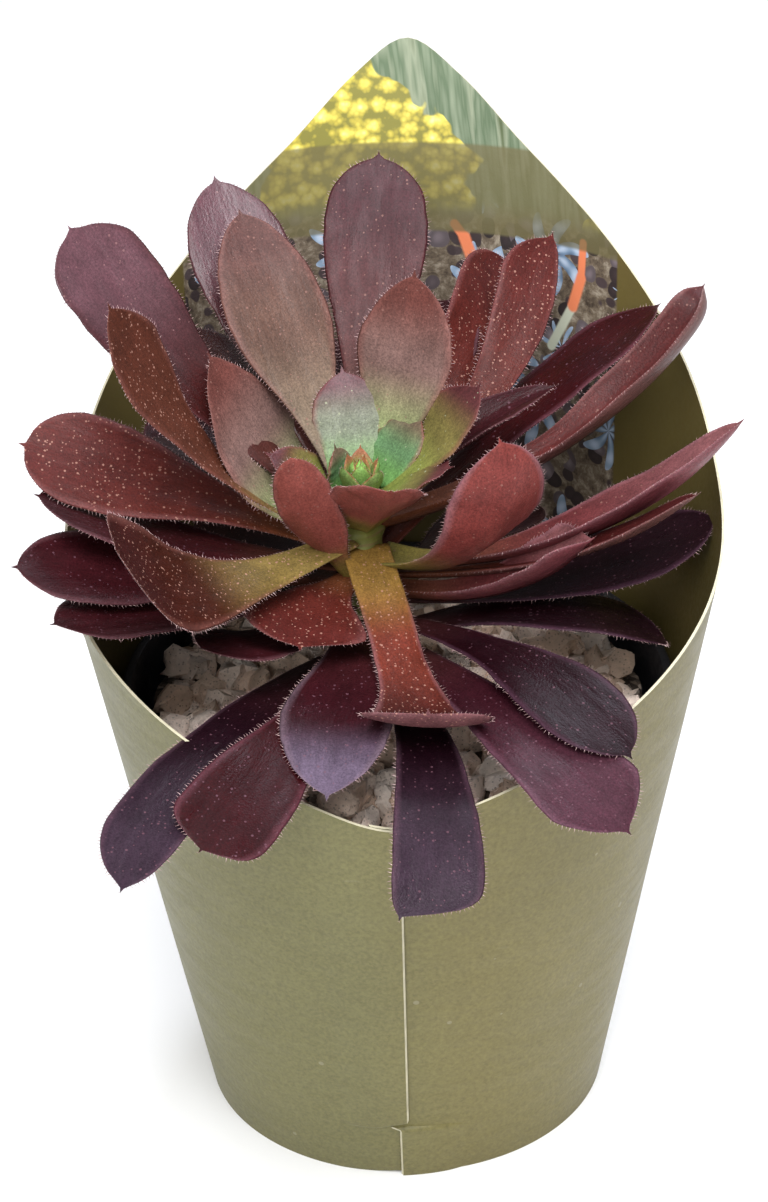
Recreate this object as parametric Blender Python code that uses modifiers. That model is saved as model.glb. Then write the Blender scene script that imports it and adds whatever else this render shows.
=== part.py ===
"""Potted aeonium: a dark rosette in a nursery pot, standing in a printed sheet sleeve.

Units are metres, +Z is up. The origin is the centre of the pot's base, on the surface the
pot stands on, and the low front of the sleeve faces -Y. Azimuths run from the front (-Y)
towards the right (+X).
"""
import math
from typing import NamedTuple

import bmesh
import bpy
from mathutils import Matrix, Vector, noise

MM = 0.001
GAP = 0.3 * MM
ROUND_STEPS = 40

# Nursery pot: a 10.5 cm thermoformed pot.
POT_HEIGHT = 94 * MM
POT_BASE_RADIUS = 36.5 * MM
POT_RIM_RADIUS = 52.5 * MM
POT_WALL = 1.0 * MM
POT_BASE_THICKNESS = 1.4 * MM
POT_BAND_HEIGHT = 11 * MM
POT_BAND_STEP = 1.2 * MM
POT_BEAD = 1.3 * MM
DRAIN_RADIUS = 3.2 * MM
DRAIN_RING = 24 * MM
DRAIN_COUNT = 6

# What fills the pot.
SOIL_TOP = 80 * MM
GRAVEL_EDGE_TOP = 90.5 * MM
GRAVEL_CROWN = 3.5 * MM
GRAVEL_BUMP = 1.6 * MM
GRAVEL_BUMP_SIZE = 8 * MM

# Sleeve: one plastic sheet rolled into an oval cone, lapped at the front.
SHEET = 0.5 * MM
SLEEVE_FOOT_X = 41.0 * MM
SLEEVE_FOOT_Y = 37.4 * MM
SLEEVE_ROUND_HEIGHT = 100 * MM
SLEEVE_ROUND_RADIUS = 57.2 * MM
SLEEVE_LAP = 5.0
LAP_CLEARANCE = 0.45 * MM
RIM_TURNS = (0, 15, 45, 75, 100, 120, 140, 160, 172, 180)
RIM_HEIGHTS = (99, 103.5, 113.5, 123, 132, 145.5, 160, 177, 190, 196)
PEAK_SHIFT = 3.3
SHEET_COLUMNS = 72
SHEET_ROWS = 6

# Stem: leans slightly to the front as it rises.
STEM_FOOT = Vector((-6.5, 2.0, 95.0)) * MM
STEM_HEAD = Vector((-6.0, -2.0, 137.0)) * MM
STEM_ROOT_HEIGHT = 60 * MM
STEM_TOP_HEIGHT = 136.4 * MM
STEM_RADIUS = 4.0 * MM
STEM_TOP_RADIUS = 2.6 * MM
STEM_SHOULDER_HEIGHT = 126 * MM
BUD_RADIUS = 2.3 * MM
BUD_LENGTH = 7.0 * MM

# Leaf blades.
LEAF_RINGS = 11
LEAF_THICKNESS = 1.3 * MM
LEAF_ATTACH_RADIUS = 4.75 * MM
LEAF_CUP = 0.10
CURL_GROWTH = 1.3
TIP_HALF_WIDTH = 0.35 * MM
SECTION_STATIONS = (-1.0, -0.4, 0.4, 1.0)
SECTION_FULLNESS = (0.15, 1.0, 1.0, 0.15)


class Leaf(NamedTuple):
    """One leaf: heights and sizes in millimetres, angles in degrees.

    height: where it meets the stem; azimuth: which way it points; rise: its slope at the
    stem; curl: how far it turns up (or down, if negative) by the tip; twist: roll about its
    length; sway: sideways bend; widest: where along it the blade is broadest; neck: width
    at the stem over the full width; fold: how far its halves close.
    """

    name: str
    height: float
    azimuth: float
    rise: float
    curl: float
    length: float
    width: float
    twist: float
    sway: float
    widest: float = 0.74
    neck: float = 0.26
    fold: float = 0.0


LEAVES = (
    # Crown: young leaves round the bud.
    Leaf("crown_back", 137.5, -166, 57, 6, 21, 14.5, -5, 4, 0.6),
    Leaf("crown_mint", 139.0, 132, 62, -10, 14, 11.0, 3, 2, 0.55),
    Leaf("crown_small", 138.0, -117, 74, 8, 8, 7.5, -7, 2, 0.55),
    Leaf("crown_right", 135.0, 110, 39, 9, 29, 16.5, 4, 5, 0.62),
    Leaf("crown_right_small", 136.5, 64, 35, -18, 15, 12.0, 18, 1, 0.6),
    Leaf("crown_left", 136.5, -83, 38, -5, 17, 14.5, -10, 1, 0.6),
    Leaf("crown_front_left", 126.5, -40, 51, 18, 28, 14.0, 32, -2, 0.55),
    Leaf("crown_front", 130.0, 29, 36, 4, 29, 14.0, -13, 4, 0.55, 0.26, 15),
    Leaf("back_inner", 136.0, 161, 48, 2, 42, 19.0, -2, 7),
    Leaf("back_left_inner", 135.0, -150, 49, -8, 57, 18.5, -7, -17),
    Leaf("left_inner", 133.5, -114, 43, 0, 36, 19.5, -4, 3),
    # Upper ring.
    Leaf("left_high_broad", 130.0, -113, 40, 8, 74, 20.5, -18, -9),
    Leaf("back_left_high", 131.5, -150, 38, 11, 69, 20.5, -5, -9),
    Leaf("back_left_gap", 128.0, -137, 29, 10, 48, 16.0, 9, 2),
    Leaf("back_tall", 133.0, 174, 47, 3, 67, 19.5, 3, 0),
    Leaf("back_right_dark", 129.5, 152, 34, -15, 64, 18.5, -17, -14),
    Leaf("back_right_high", 131.5, 141, 31, 8, 63, 17.0, 26, 14),
    Leaf("right_spike", 133.0, 112, 32, -12, 38, 13.0, 5, 1),
    Leaf("right_high", 121.5, 124, 26, 1, 73, 19.0, -11, -14),
    Leaf("right_high_folded", 127.0, 113, 22, 15, 77, 20.0, -9, 7),
    Leaf("left_high_brown", 126.5, -106, 30, 28, 62, 19.5, -11, -13),
    Leaf("left_gap", 122.0, -115, 20, -5, 46, 18.5, 8, 5),
    # Middle ring.
    Leaf("left_spotted", 124.5, -92, 22, -3, 61, 20.5, -28, -2),
    Leaf("left_golden", 123.0, -48, 8, 32, 58, 20.5, -29, -2),
    Leaf("left_low_back", 120.0, -83, 12, 18, 58, 19.5, -2, -5),
    Leaf("left_low_middle", 116.5, -72, 13, 2, 62, 20.5, -15, 0),
    Leaf("left_low_front", 114.5, -60, 12, 0, 59, 20.5, -2, 1),
    Leaf("left_under_dark", 112.5, -42, 2, 25, 39, 18.5, 3, -21),
    Leaf("front_left_toothed", 119.0, -19, 6, -11, 27, 23.0, -10, 37),
    Leaf("front_facing", 125.5, 11, -18, 35, 52, 21.0, -9, -5, 0.85, 0.4),
    Leaf("front_right_upturned", 122.0, 54, 6, 104, 49, 17.5, -33, -4),
    Leaf("right_short_pink", 115.0, 90, -7, 36, 44, 20.0, -5, 8),
    Leaf("right_broad_dark", 117.0, 102, 0, 37, 67, 21.0, 1, 11),
    Leaf("right_middle", 119.0, 95, 11, 7, 60, 20.0, -14, -5),
    Leaf("right_long", 124.5, 102, 15, -4, 71, 19.5, -13, 2),
    Leaf("middle_back_right", 123.5, 161, 34, -8, 56, 19.0, 0, -3),
    Leaf("middle_back_left", 120.5, -166, 30, -8, 56, 19.0, 0, -3),
    Leaf("middle_left_back", 118.5, -129, 20, -5, 52, 18.0, 0, -3),
    # Lowest ring: old leaves that arch down.
    Leaf("front_right_upper", 110.0, 38, 17, -36, 72, 19.0, -6, -5),
    Leaf("front_right_lower", 104.0, 33, 19, -43, 82, 20.0, 10, 10),
    Leaf("front_hanging", 102.0, 6, 16, -51, 81, 16.5, -4, -34),
    Leaf("front_left_short", 107.0, -5, 14, -34, 58, 19.0, -2, 2),
    Leaf("front_left_red", 109.0, -20, 14, -42, 79, 18.0, -12, -19),
    Leaf("front_left_long", 105.0, -26, 15, -40, 84, 18.5, -24, -14),
    Leaf("right_low_arched", 107.5, 96, 13, -55, 57, 20.0, -1, 2),
    Leaf("low_left", 110.0, -108, 10, -19, 46, 18.0, 0, 0),
    Leaf("low_back_left", 107.5, -142, 12, -25, 47, 18.0, 0, 0),
    Leaf("low_back", 112.5, 180, 14, -20, 46, 18.0, 0, 0),
    Leaf("low_back_right", 109.0, 138, 13, -25, 47, 18.0, 0, 0),
)

# Loose stones on the gravel: azimuth, distance from the pot's axis and size, in mm.
STONES = (
    ("pumice_front", 4, 43, 9.0),
    ("pumice_front_left", -14, 44, 7.5),
    ("pumice_left", -62, 40, 8.5),
    ("pumice_right", 62, 43, 9.0),
    ("pumice_back", 172, 40, 8.5),
)
STONE_FLATNESS = 0.62

PART = "potted_aeonium"


def clear_scene():
    """Remove every object the file opened with."""
    for obj in list(bpy.data.objects):
        bpy.data.objects.remove(obj, do_unlink=True)


def make_collection(name):
    """Return a new collection linked to the scene."""
    collection = bpy.data.collections.new(name)
    bpy.context.scene.collection.children.link(collection)
    return collection


def make_material(name, colour, roughness, metallic=0.0):
    """Return a plain Principled material."""
    material = bpy.data.materials.new(name)
    material.use_nodes = True
    shader = material.node_tree.nodes["Principled BSDF"]
    shader.inputs["Base Color"].default_value = (*colour, 1.0)
    shader.inputs["Roughness"].default_value = roughness
    shader.inputs["Metallic"].default_value = metallic
    return material


def add_object(name, mesh, material, collection):
    """Link a mesh as an object with its material, shaded smooth up to sharp corners."""
    obj = bpy.data.objects.new(name, mesh)
    collection.objects.link(obj)
    mesh.materials.clear()
    mesh.materials.append(material)
    mesh.shade_smooth()
    mesh.set_sharp_from_angle(angle=math.radians(40))
    return obj


def mesh_from_bmesh(name, bm):
    """Turn a bmesh into mesh data and free it."""
    mesh = bpy.data.meshes.new(name)
    bm.to_mesh(mesh)
    bm.free()
    return mesh


def applied(obj):
    """Apply an object's modifiers and return its new mesh."""
    depsgraph = bpy.context.evaluated_depsgraph_get()
    mesh = bpy.data.meshes.new_from_object(obj.evaluated_get(depsgraph))
    obj.modifiers.clear()
    obj.data = mesh
    return mesh


def turned(name, profile, material, collection):
    """Turn a closed profile of (radius, height) points about Z."""
    bm = bmesh.new()
    verts = [bm.verts.new((radius, 0.0, height)) for radius, height in profile]
    for first, second in zip(verts, verts[1:]):
        bm.edges.new((first, second))
    obj = add_object(name, mesh_from_bmesh(name, bm), material, collection)
    screw = obj.modifiers.new("turn", "SCREW")
    screw.axis = "Z"
    screw.steps = ROUND_STEPS
    screw.render_steps = ROUND_STEPS
    screw.use_merge_vertices = True
    screw.merge_threshold = 0.00005
    screw.use_smooth_shade = True
    applied(obj)
    return obj


def cylinder_cutter(name, radius, bottom, top, centre, collection, segments=24):
    """Make an upright cylinder that only cuts."""
    bm = bmesh.new()
    bmesh.ops.create_cone(bm, cap_ends=True, segments=segments, radius1=radius,
                          radius2=radius, depth=top - bottom,
                          matrix=Matrix.Translation((centre[0], centre[1], (top + bottom) / 2)))
    cutter = bpy.data.objects.new(name, mesh_from_bmesh(name, bm))
    collection.objects.link(cutter)
    cutter.hide_render = True
    cutter.display_type = "WIRE"
    return cutter


def cut(obj, cutter):
    """Cut one solid with another."""
    boolean = obj.modifiers.new(f"cut_{cutter.name}", "BOOLEAN")
    boolean.operation = "DIFFERENCE"
    boolean.object = cutter
    boolean.solver = "EXACT"


# ---------------------------------------------------------------- pot and filling

def pot_outer_radius(height):
    """Radius of the pot's plain outer wall at a height."""
    share = height / POT_HEIGHT
    return POT_BASE_RADIUS + (POT_RIM_RADIUS - POT_BAND_STEP - POT_BASE_RADIUS) * share


def pot_inner_radius(height):
    """Radius of the pot's inner wall at a height."""
    return pot_outer_radius(height) - POT_WALL


def build_pot(material, collection, cutters):
    """Build the thin pot with its rim band, rolled edge and drain holes."""
    band = POT_HEIGHT - POT_BAND_HEIGHT
    profile = [
        (0.0, POT_BASE_THICKNESS),
        (pot_inner_radius(POT_BASE_THICKNESS), POT_BASE_THICKNESS),
        (pot_inner_radius(band), band),
        (pot_inner_radius(POT_HEIGHT) + POT_BAND_STEP, POT_HEIGHT),
        (POT_RIM_RADIUS + POT_BEAD * 0.5, POT_HEIGHT),
        (POT_RIM_RADIUS + POT_BEAD, POT_HEIGHT - POT_BEAD * 0.6),
        (POT_RIM_RADIUS + POT_BEAD * 0.8, POT_HEIGHT - POT_BEAD * 1.5),
        (POT_RIM_RADIUS, POT_HEIGHT - POT_BEAD * 1.6),
        (pot_outer_radius(band) + POT_BAND_STEP, band),
        (pot_outer_radius(band), band - POT_BAND_STEP),
        (pot_outer_radius(POT_WALL), POT_WALL),
        (POT_BASE_RADIUS - POT_WALL, 0.0),
        (0.0, 0.0),
    ]
    pot = turned("nursery_pot", profile, material, collection)
    for index in range(DRAIN_COUNT):
        angle = 2 * math.pi * index / DRAIN_COUNT
        centre = (DRAIN_RING * math.cos(angle), DRAIN_RING * math.sin(angle))
        cut(pot, cylinder_cutter(f"drain_{index + 1}", DRAIN_RADIUS, -2 * MM,
                                 4 * MM, centre, cutters, 12))
    return pot


def stem_centre(height):
    """Centre of the stem at a height."""
    share = (height - STEM_FOOT.z) / (STEM_HEAD.z - STEM_FOOT.z)
    centre = STEM_FOOT.lerp(STEM_HEAD, share)
    return Vector((centre.x, centre.y, height))


def stem_clear_cutter(name, bottom, top, cutters):
    """Make the slanted bore that the stem stands in, with clearance all round."""
    low, high = stem_centre(bottom), stem_centre(top)
    axis = high - low
    bm = bmesh.new()
    radius = STEM_RADIUS + GAP
    turn = axis.to_track_quat("Z", "Y").to_matrix().to_4x4()
    place = Matrix.Translation((low + high) / 2) @ turn
    bmesh.ops.create_cone(bm, cap_ends=True, segments=24, radius1=radius, radius2=radius,
                          depth=axis.length, matrix=place)
    cutter = bpy.data.objects.new(name, mesh_from_bmesh(name, bm))
    cutters.objects.link(cutter)
    cutter.hide_render = True
    cutter.display_type = "WIRE"
    return cutter


def build_soil(material, collection, cutters):
    """Build the potting mix: it fills the pot up to the gravel."""
    bottom = POT_BASE_THICKNESS + GAP
    profile = [
        (0.0, SOIL_TOP),
        (pot_inner_radius(SOIL_TOP) - GAP, SOIL_TOP),
        (pot_inner_radius(bottom) - GAP, bottom),
        (0.0, bottom),
    ]
    soil = turned("soil", profile, material, collection)
    cut(soil, stem_clear_cutter("root_bore", STEM_ROOT_HEIGHT - GAP, SOIL_TOP + 4 * MM, cutters))
    return soil


def gravel_height(x, y):
    """Height of the gravel's bumpy top at a point."""
    radius = math.hypot(x, y)
    dome = GRAVEL_CROWN * (1 - (radius / POT_RIM_RADIUS) ** 2)
    spot = Vector((x, y, 0.0)) / GRAVEL_BUMP_SIZE
    return GRAVEL_EDGE_TOP + dome + GRAVEL_BUMP * noise.noise(spot)


def build_gravel(material, collection, cutters):
    """Build the gravel dressing as one bumpy layer on the soil."""
    bottom = SOIL_TOP + GAP
    outer = pot_inner_radius(bottom) - GAP
    rings = 10
    top = [(outer * step / rings, GRAVEL_EDGE_TOP) for step in range(rings + 1)]
    profile = top + [(outer, bottom), (0.0, bottom)]
    gravel = turned("gravel_layer", profile, material, collection)
    for vertex in gravel.data.vertices:
        if vertex.co.z > bottom + 1 * MM:
            vertex.co.z = gravel_height(vertex.co.x, vertex.co.y)
    cut(gravel, stem_clear_cutter("stem_bore", SOIL_TOP - 4 * MM, 104 * MM, cutters))
    return gravel


def build_stone(name, azimuth, distance, size, material, collection):
    """Build one loose pumice stone lying on the gravel."""
    angle = math.radians(azimuth)
    centre = Vector((distance * MM * math.sin(angle), -distance * MM * math.cos(angle), 0.0))
    bm = bmesh.new()
    bmesh.ops.create_icosphere(bm, subdivisions=2, radius=size * MM / 2)
    for vertex in bm.verts:
        swell = 1 + 0.28 * noise.noise(vertex.co / (4 * MM) + centre / (3 * MM))
        vertex.co = vertex.co * swell
        vertex.co.z *= STONE_FLATNESS
        vertex.co = Matrix.Rotation(angle * 3.1, 3, "Z") @ vertex.co
    seat = max(gravel_height(centre.x + v.co.x, centre.y + v.co.y) - v.co.z for v in bm.verts)
    bmesh.ops.translate(bm, verts=bm.verts, vec=(centre.x, centre.y, seat + 2 * GAP))
    return add_object(name, mesh_from_bmesh(name, bm), material, collection)


# ---------------------------------------------------------------- sleeve

def sleeve_radii(height):
    """Half widths of the sleeve's oval along X and Y at a height."""
    share = height / SLEEVE_ROUND_HEIGHT
    return (SLEEVE_FOOT_X + (SLEEVE_ROUND_RADIUS - SLEEVE_FOOT_X) * share,
            SLEEVE_FOOT_Y + (SLEEVE_ROUND_RADIUS - SLEEVE_FOOT_Y) * share)


def rim_height(azimuth):
    """Height of the sleeve's cut edge at an azimuth in degrees."""
    shifted = azimuth + PEAK_SHIFT * math.sin(math.radians(azimuth / 2)) ** 2
    turn = abs((shifted + 180) % 360 - 180)
    last = len(RIM_TURNS) - 2
    index = max(i for i in range(last + 1) if RIM_TURNS[i] <= turn)
    start, end = RIM_TURNS[index], RIM_TURNS[index + 1]
    share = (turn - start) / (end - start)

    def slope(i):
        if i == 0 or i == last + 1:
            return 0.0
        rise = RIM_HEIGHTS[i + 1] - RIM_HEIGHTS[i - 1]
        return rise / (RIM_TURNS[i + 1] - RIM_TURNS[i - 1])

    span = end - start
    square, cube = share * share, share ** 3
    height = ((2 * cube - 3 * square + 1) * RIM_HEIGHTS[index]
              + (cube - 2 * square + share) * span * slope(index)
              + (3 * square - 2 * cube) * RIM_HEIGHTS[index + 1]
              + (cube - square) * span * slope(index + 1))
    return height * MM


def build_sleeve(material, collection):
    """Build the sheet: a grid wrapped once round, its right end lapped over its left."""
    bm = bmesh.new()
    bmesh.ops.create_grid(bm, x_segments=SHEET_COLUMNS, y_segments=SHEET_ROWS, size=0.5)
    for vertex in bm.verts:
        along, up = vertex.co.x + 0.5, vertex.co.y + 0.5
        azimuth = -along * (360 + SLEEVE_LAP) + SLEEVE_LAP / 2
        height = up * rim_height(azimuth)
        radius_x, radius_y = sleeve_radii(height)
        lapped = max(0.0, 1 - along * 360 / (3 * SLEEVE_LAP))
        out = (SHEET + LAP_CLEARANCE) * lapped ** 0.5 if lapped > 0 else 0.0
        angle = math.radians(azimuth)
        vertex.co = ((radius_x + out) * math.sin(angle), -(radius_y + out) * math.cos(angle),
                     height)
    bmesh.ops.recalc_face_normals(bm, faces=bm.faces)
    sleeve = add_object("sleeve", mesh_from_bmesh("sleeve", bm), material, collection)
    solidify = sleeve.modifiers.new("sheet", "SOLIDIFY")
    solidify.thickness = SHEET
    solidify.offset = 0.0
    return sleeve


# ---------------------------------------------------------------- plant

def build_stem(material, collection):
    """Build the stem as a round tapering stalk from the roots to under the bud."""
    curve = bpy.data.curves.new("stem_path", "CURVE")
    curve.dimensions = "3D"
    curve.bevel_depth = STEM_RADIUS
    curve.bevel_resolution = 3
    curve.use_fill_caps = True
    heights = (STEM_ROOT_HEIGHT, SOIL_TOP, STEM_FOOT.z, 110 * MM, STEM_SHOULDER_HEIGHT,
               STEM_TOP_HEIGHT)
    spline = curve.splines.new("POLY")
    spline.points.add(len(heights) - 1)
    for point, height in zip(spline.points, heights):
        point.co = (*stem_centre(height), 1.0)
        point.radius = 1.0
    spline.points[-1].radius = STEM_TOP_RADIUS / STEM_RADIUS
    guide = bpy.data.objects.new("stem_guide", curve)
    collection.objects.link(guide)
    depsgraph = bpy.context.evaluated_depsgraph_get()
    mesh = bpy.data.meshes.new_from_object(guide.evaluated_get(depsgraph))
    bpy.data.objects.remove(guide, do_unlink=True)
    bm = bmesh.new()
    bm.from_mesh(mesh)
    bmesh.ops.remove_doubles(bm, verts=bm.verts, dist=0.00001)
    bmesh.ops.recalc_face_normals(bm, faces=bm.faces)
    return add_object("stem", mesh_from_bmesh("stem", bm), material, collection)


def build_bud(material, collection):
    """Build the tight bud of unopened leaves on top of the stem."""
    bm = bmesh.new()
    bmesh.ops.create_icosphere(bm, subdivisions=2, radius=BUD_RADIUS)
    top = stem_centre(STEM_TOP_HEIGHT)
    stretch = BUD_LENGTH / 2 / BUD_RADIUS
    bmesh.ops.scale(bm, verts=bm.verts, vec=(1.0, 1.0, stretch))
    bmesh.ops.translate(bm, verts=bm.verts, vec=top + Vector((0, 0, GAP + BUD_LENGTH / 2)))
    return add_object("crown_bud", mesh_from_bmesh("crown_bud", bm), material, collection)


def blade_width(leaf, along):
    """Half width of a leaf at a share of its length: narrow neck, broad end, round tip."""
    half = leaf.width * MM / 2
    if along < leaf.widest:
        swell = 0.5 - 0.5 * math.cos(math.pi * (along / leaf.widest) ** 1.15)
        return half * (leaf.neck + (1 - leaf.neck) * swell)
    past = (along - leaf.widest) / (1 - leaf.widest)
    return half * max(1 - past ** 2.3, 0.0) ** 0.62


def leaf_direction(leaf, along):
    """Unit direction of a leaf's midrib at a share of its length, and its level side."""
    azimuth = math.radians(leaf.azimuth + leaf.sway * (along - 0.5))
    slope = math.radians(leaf.rise + leaf.curl * along ** CURL_GROWTH)
    outward = Vector((math.sin(azimuth), -math.cos(azimuth), 0.0))
    direction = outward * math.cos(slope) + Vector((0, 0, math.sin(slope)))
    return direction, Vector((-outward.y, outward.x, 0.0))


def leaf_section(leaf, along, centre):
    """Points round a leaf's lens-shaped section at a share of its length."""
    direction, level = leaf_direction(leaf, along)
    upright = direction.cross(level)
    roll = math.radians(leaf.twist) * min(along * 1.4, 1.0)
    side = level * math.cos(roll) + upright * math.sin(roll)
    normal = upright * math.cos(roll) - level * math.sin(roll)
    half = max(blade_width(leaf, along), TIP_HALF_WIDTH)
    thinning = 1 - 0.75 * max((along - 0.8) / 0.2, 0.0) ** 2
    thick = LEAF_THICKNESS / 2 * thinning
    fold = math.radians(leaf.fold)
    middle = []
    for station in SECTION_STATIONS:
        bend = fold * abs(station)
        lift = LEAF_CUP * station ** 2 + math.sin(fold) * abs(station)
        middle.append(centre + side * half * station * math.cos(bend) + normal * half * lift)
    upper = [p + normal * thick * f for p, f in zip(middle, SECTION_FULLNESS)]
    lower = [p - normal * thick * f for p, f in zip(middle, SECTION_FULLNESS)]
    return upper + lower[::-1]


def leaf_midrib(leaf):
    """Centres of a leaf's sections, from the stem to the tip."""
    azimuth = math.radians(leaf.azimuth)
    outward = Vector((math.sin(azimuth), -math.cos(azimuth), 0.0))
    centres = [stem_centre(leaf.height * MM) + outward * LEAF_ATTACH_RADIUS]
    step = leaf.length * MM / (LEAF_RINGS - 1)
    for ring in range(LEAF_RINGS - 1):
        before = leaf_direction(leaf, ring / (LEAF_RINGS - 1))[0]
        after = leaf_direction(leaf, (ring + 1) / (LEAF_RINGS - 1))[0]
        centres.append(centres[-1] + (before + after) / 2 * step)
    return centres


def build_leaf(leaf, material, collection):
    """Loft a leaf through its sections and close both ends."""
    bm = bmesh.new()
    rings = []
    for ring, centre in enumerate(leaf_midrib(leaf)):
        points = leaf_section(leaf, ring / (LEAF_RINGS - 1), centre)
        rings.append([bm.verts.new(point) for point in points])
    for near, far in zip(rings, rings[1:]):
        for index, vertex in enumerate(near):
            after = (index + 1) % len(near)
            bm.faces.new((vertex, near[after], far[after], far[index]))
    bm.faces.new(rings[0][::-1])
    bm.faces.new(rings[-1])
    bmesh.ops.recalc_face_normals(bm, faces=bm.faces)
    name = f"leaf_{leaf.name}"
    return add_object(name, mesh_from_bmesh(name, bm), material, collection)


def main():
    """Build the whole potted plant."""
    clear_scene()
    part = make_collection(PART)
    cutters = make_collection("cutters")
    pot_black = make_material("pot_black", (0.012, 0.013, 0.018), 0.45)
    potting_mix = make_material("potting_mix", (0.035, 0.022, 0.014), 0.95)
    pumice = make_material("pumice", (0.50, 0.41, 0.33), 0.9)
    sheet_olive = make_material("sheet_olive", (0.16, 0.15, 0.075), 0.4)
    stem_green = make_material("stem_green", (0.28, 0.32, 0.10), 0.6)
    bud_green = make_material("bud_green", (0.20, 0.38, 0.12), 0.5)
    leaf_purple = make_material("leaf_purple", (0.085, 0.022, 0.030), 0.42)

    build_pot(pot_black, part, cutters)
    build_soil(potting_mix, part, cutters)
    build_gravel(pumice, part, cutters)
    for stone in STONES:
        build_stone(*stone, pumice, part)
    build_sleeve(sheet_olive, part)
    build_stem(stem_green, part)
    build_bud(bud_green, part)
    for leaf in LEAVES:
        build_leaf(leaf, leaf_purple, part)


main()
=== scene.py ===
"""Potted aeonium: the looks of a dark rosette in a nursery pot, in a printed sheet sleeve.

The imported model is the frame. Each class here holds the sizes of one sub-assembly, builds its
detailed pieces in the places of the plain bodies, and dresses them. Lengths are in metres
unless a name or a comment says millimetres; azimuths run from the front (-Y) towards +X.
"""
from __future__ import annotations

import logging
import math
from dataclasses import dataclass
from enum import Enum
from typing import Any, Iterable, NamedTuple, Sequence, Union

import bmesh
import bpy
from mathutils import Matrix, Vector, noise


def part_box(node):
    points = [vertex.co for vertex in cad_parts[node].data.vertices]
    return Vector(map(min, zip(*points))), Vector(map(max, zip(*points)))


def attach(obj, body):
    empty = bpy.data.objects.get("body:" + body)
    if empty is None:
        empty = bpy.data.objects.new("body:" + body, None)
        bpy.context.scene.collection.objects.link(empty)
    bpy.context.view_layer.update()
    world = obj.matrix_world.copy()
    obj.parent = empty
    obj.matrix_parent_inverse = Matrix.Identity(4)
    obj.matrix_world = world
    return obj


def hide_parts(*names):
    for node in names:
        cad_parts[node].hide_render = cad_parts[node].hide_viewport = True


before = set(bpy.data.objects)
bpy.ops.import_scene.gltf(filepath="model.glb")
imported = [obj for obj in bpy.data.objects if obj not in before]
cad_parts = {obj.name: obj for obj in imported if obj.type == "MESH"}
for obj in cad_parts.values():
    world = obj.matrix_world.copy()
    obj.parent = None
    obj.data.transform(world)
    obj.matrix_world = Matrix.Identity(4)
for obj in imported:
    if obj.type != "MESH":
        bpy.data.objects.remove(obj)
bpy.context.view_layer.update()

MM = 0.001
ROOT_BODY = "root"
LOG = logging.getLogger("potted_aeonium")

Colour = tuple[float, float, float]
Socket = bpy.types.NodeSocket
Value = Union[Socket, float, Sequence[float], bool, str]


# ---------------------------------------------------------------- shared maths

def mix(first: float, second: float, share: float) -> float:
    """Return the value a share of the way from first to second."""
    return first + (second - first) * share


def mix_colour(first: Colour, second: Colour, share: float) -> Colour:
    """Return the colour a share of the way from first to second."""
    return tuple(mix(a, b, share) for a, b in zip(first, second))


def smooth(value: float, low: float, high: float) -> float:
    """Return 0 below low, 1 above high and an eased value between."""
    share = min(max((value - low) / (high - low), 0.0), 1.0)
    return share * share * (3 - 2 * share)


def outward(azimuth: float) -> Vector:
    """Return the level unit vector that points along an azimuth in radians."""
    return Vector((math.sin(azimuth), -math.cos(azimuth), 0.0))


# ---------------------------------------------------------------- pieces

def add_piece(name: str, mesh: bpy.types.Mesh, materials: Iterable[bpy.types.Material],
              crease: float | None = 40.0) -> bpy.types.Object:
    """Link a mesh to the scene as a piece, shaded smooth.

    Args:
        name: The piece's name.
        mesh: Its mesh, with its place already in it.
        materials: The materials of its slots.
        crease: Corners sharper than this many degrees stay sharp; None keeps none.

    Returns:
        The new object.
    """
    piece = bpy.data.objects.new(name, mesh)
    link(piece)
    mesh.materials.clear()
    for material in materials:
        mesh.materials.append(material)
    mesh.shade_smooth()
    if crease is not None:
        mesh.set_sharp_from_angle(angle=math.radians(crease))
    return piece


def link(item: bpy.types.Object) -> None:
    """Put an object into the scene."""
    bpy.context.scene.collection.objects.link(item)


def mesh_from(name: str, bm: bmesh.types.BMesh) -> bpy.types.Mesh:
    """Return a new mesh that holds an edit mesh, which it frees."""
    mesh = bpy.data.meshes.new(name)
    bm.to_mesh(mesh)
    bm.free()
    return mesh


def tube_faces(rings: int, sides: int) -> list[tuple[int, ...]]:
    """Return the four-sided faces between rings of points that follow each other.

    Args:
        rings: How many rings there are.
        sides: How many points each has.

    Returns:
        The point numbers of each face, ring by ring.
    """
    faces = []
    for base in range(0, (rings - 1) * sides, sides):
        for side in range(sides):
            after = (side + 1) % sides
            faces.append((base + side, base + after, base + sides + after,
                          base + sides + side))
    return faces


def mesh_of(name: str, points: Sequence[Vector],
            faces: Sequence[Sequence[int]]) -> bpy.types.Mesh:
    """Return a mesh of the given points and faces.

    Args:
        name: The mesh's name.
        points: Its vertices.
        faces: The vertex numbers of each face.

    Returns:
        The new mesh.
    """
    mesh = bpy.data.meshes.new(name)
    mesh.from_pydata([tuple(p) for p in points], [], faces)
    mesh.update()
    return mesh


def face_out(mesh: bpy.types.Mesh) -> None:
    """Turn every face of a closed mesh outwards.

    Args:
        mesh: The mesh, turned in place.
    """
    bm = bmesh.new()
    bm.from_mesh(mesh)
    bmesh.ops.recalc_face_normals(bm, faces=bm.faces)
    bm.to_mesh(mesh)
    bm.free()


def freeze(piece: bpy.types.Object) -> None:
    """Apply a piece's modifiers and leave it a plain mesh.

    Args:
        piece: The object, which keeps the evaluated mesh.
    """
    depsgraph = bpy.context.evaluated_depsgraph_get()
    mesh = bpy.data.meshes.new_from_object(piece.evaluated_get(depsgraph))
    piece.modifiers.clear()
    piece.data = mesh


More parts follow.
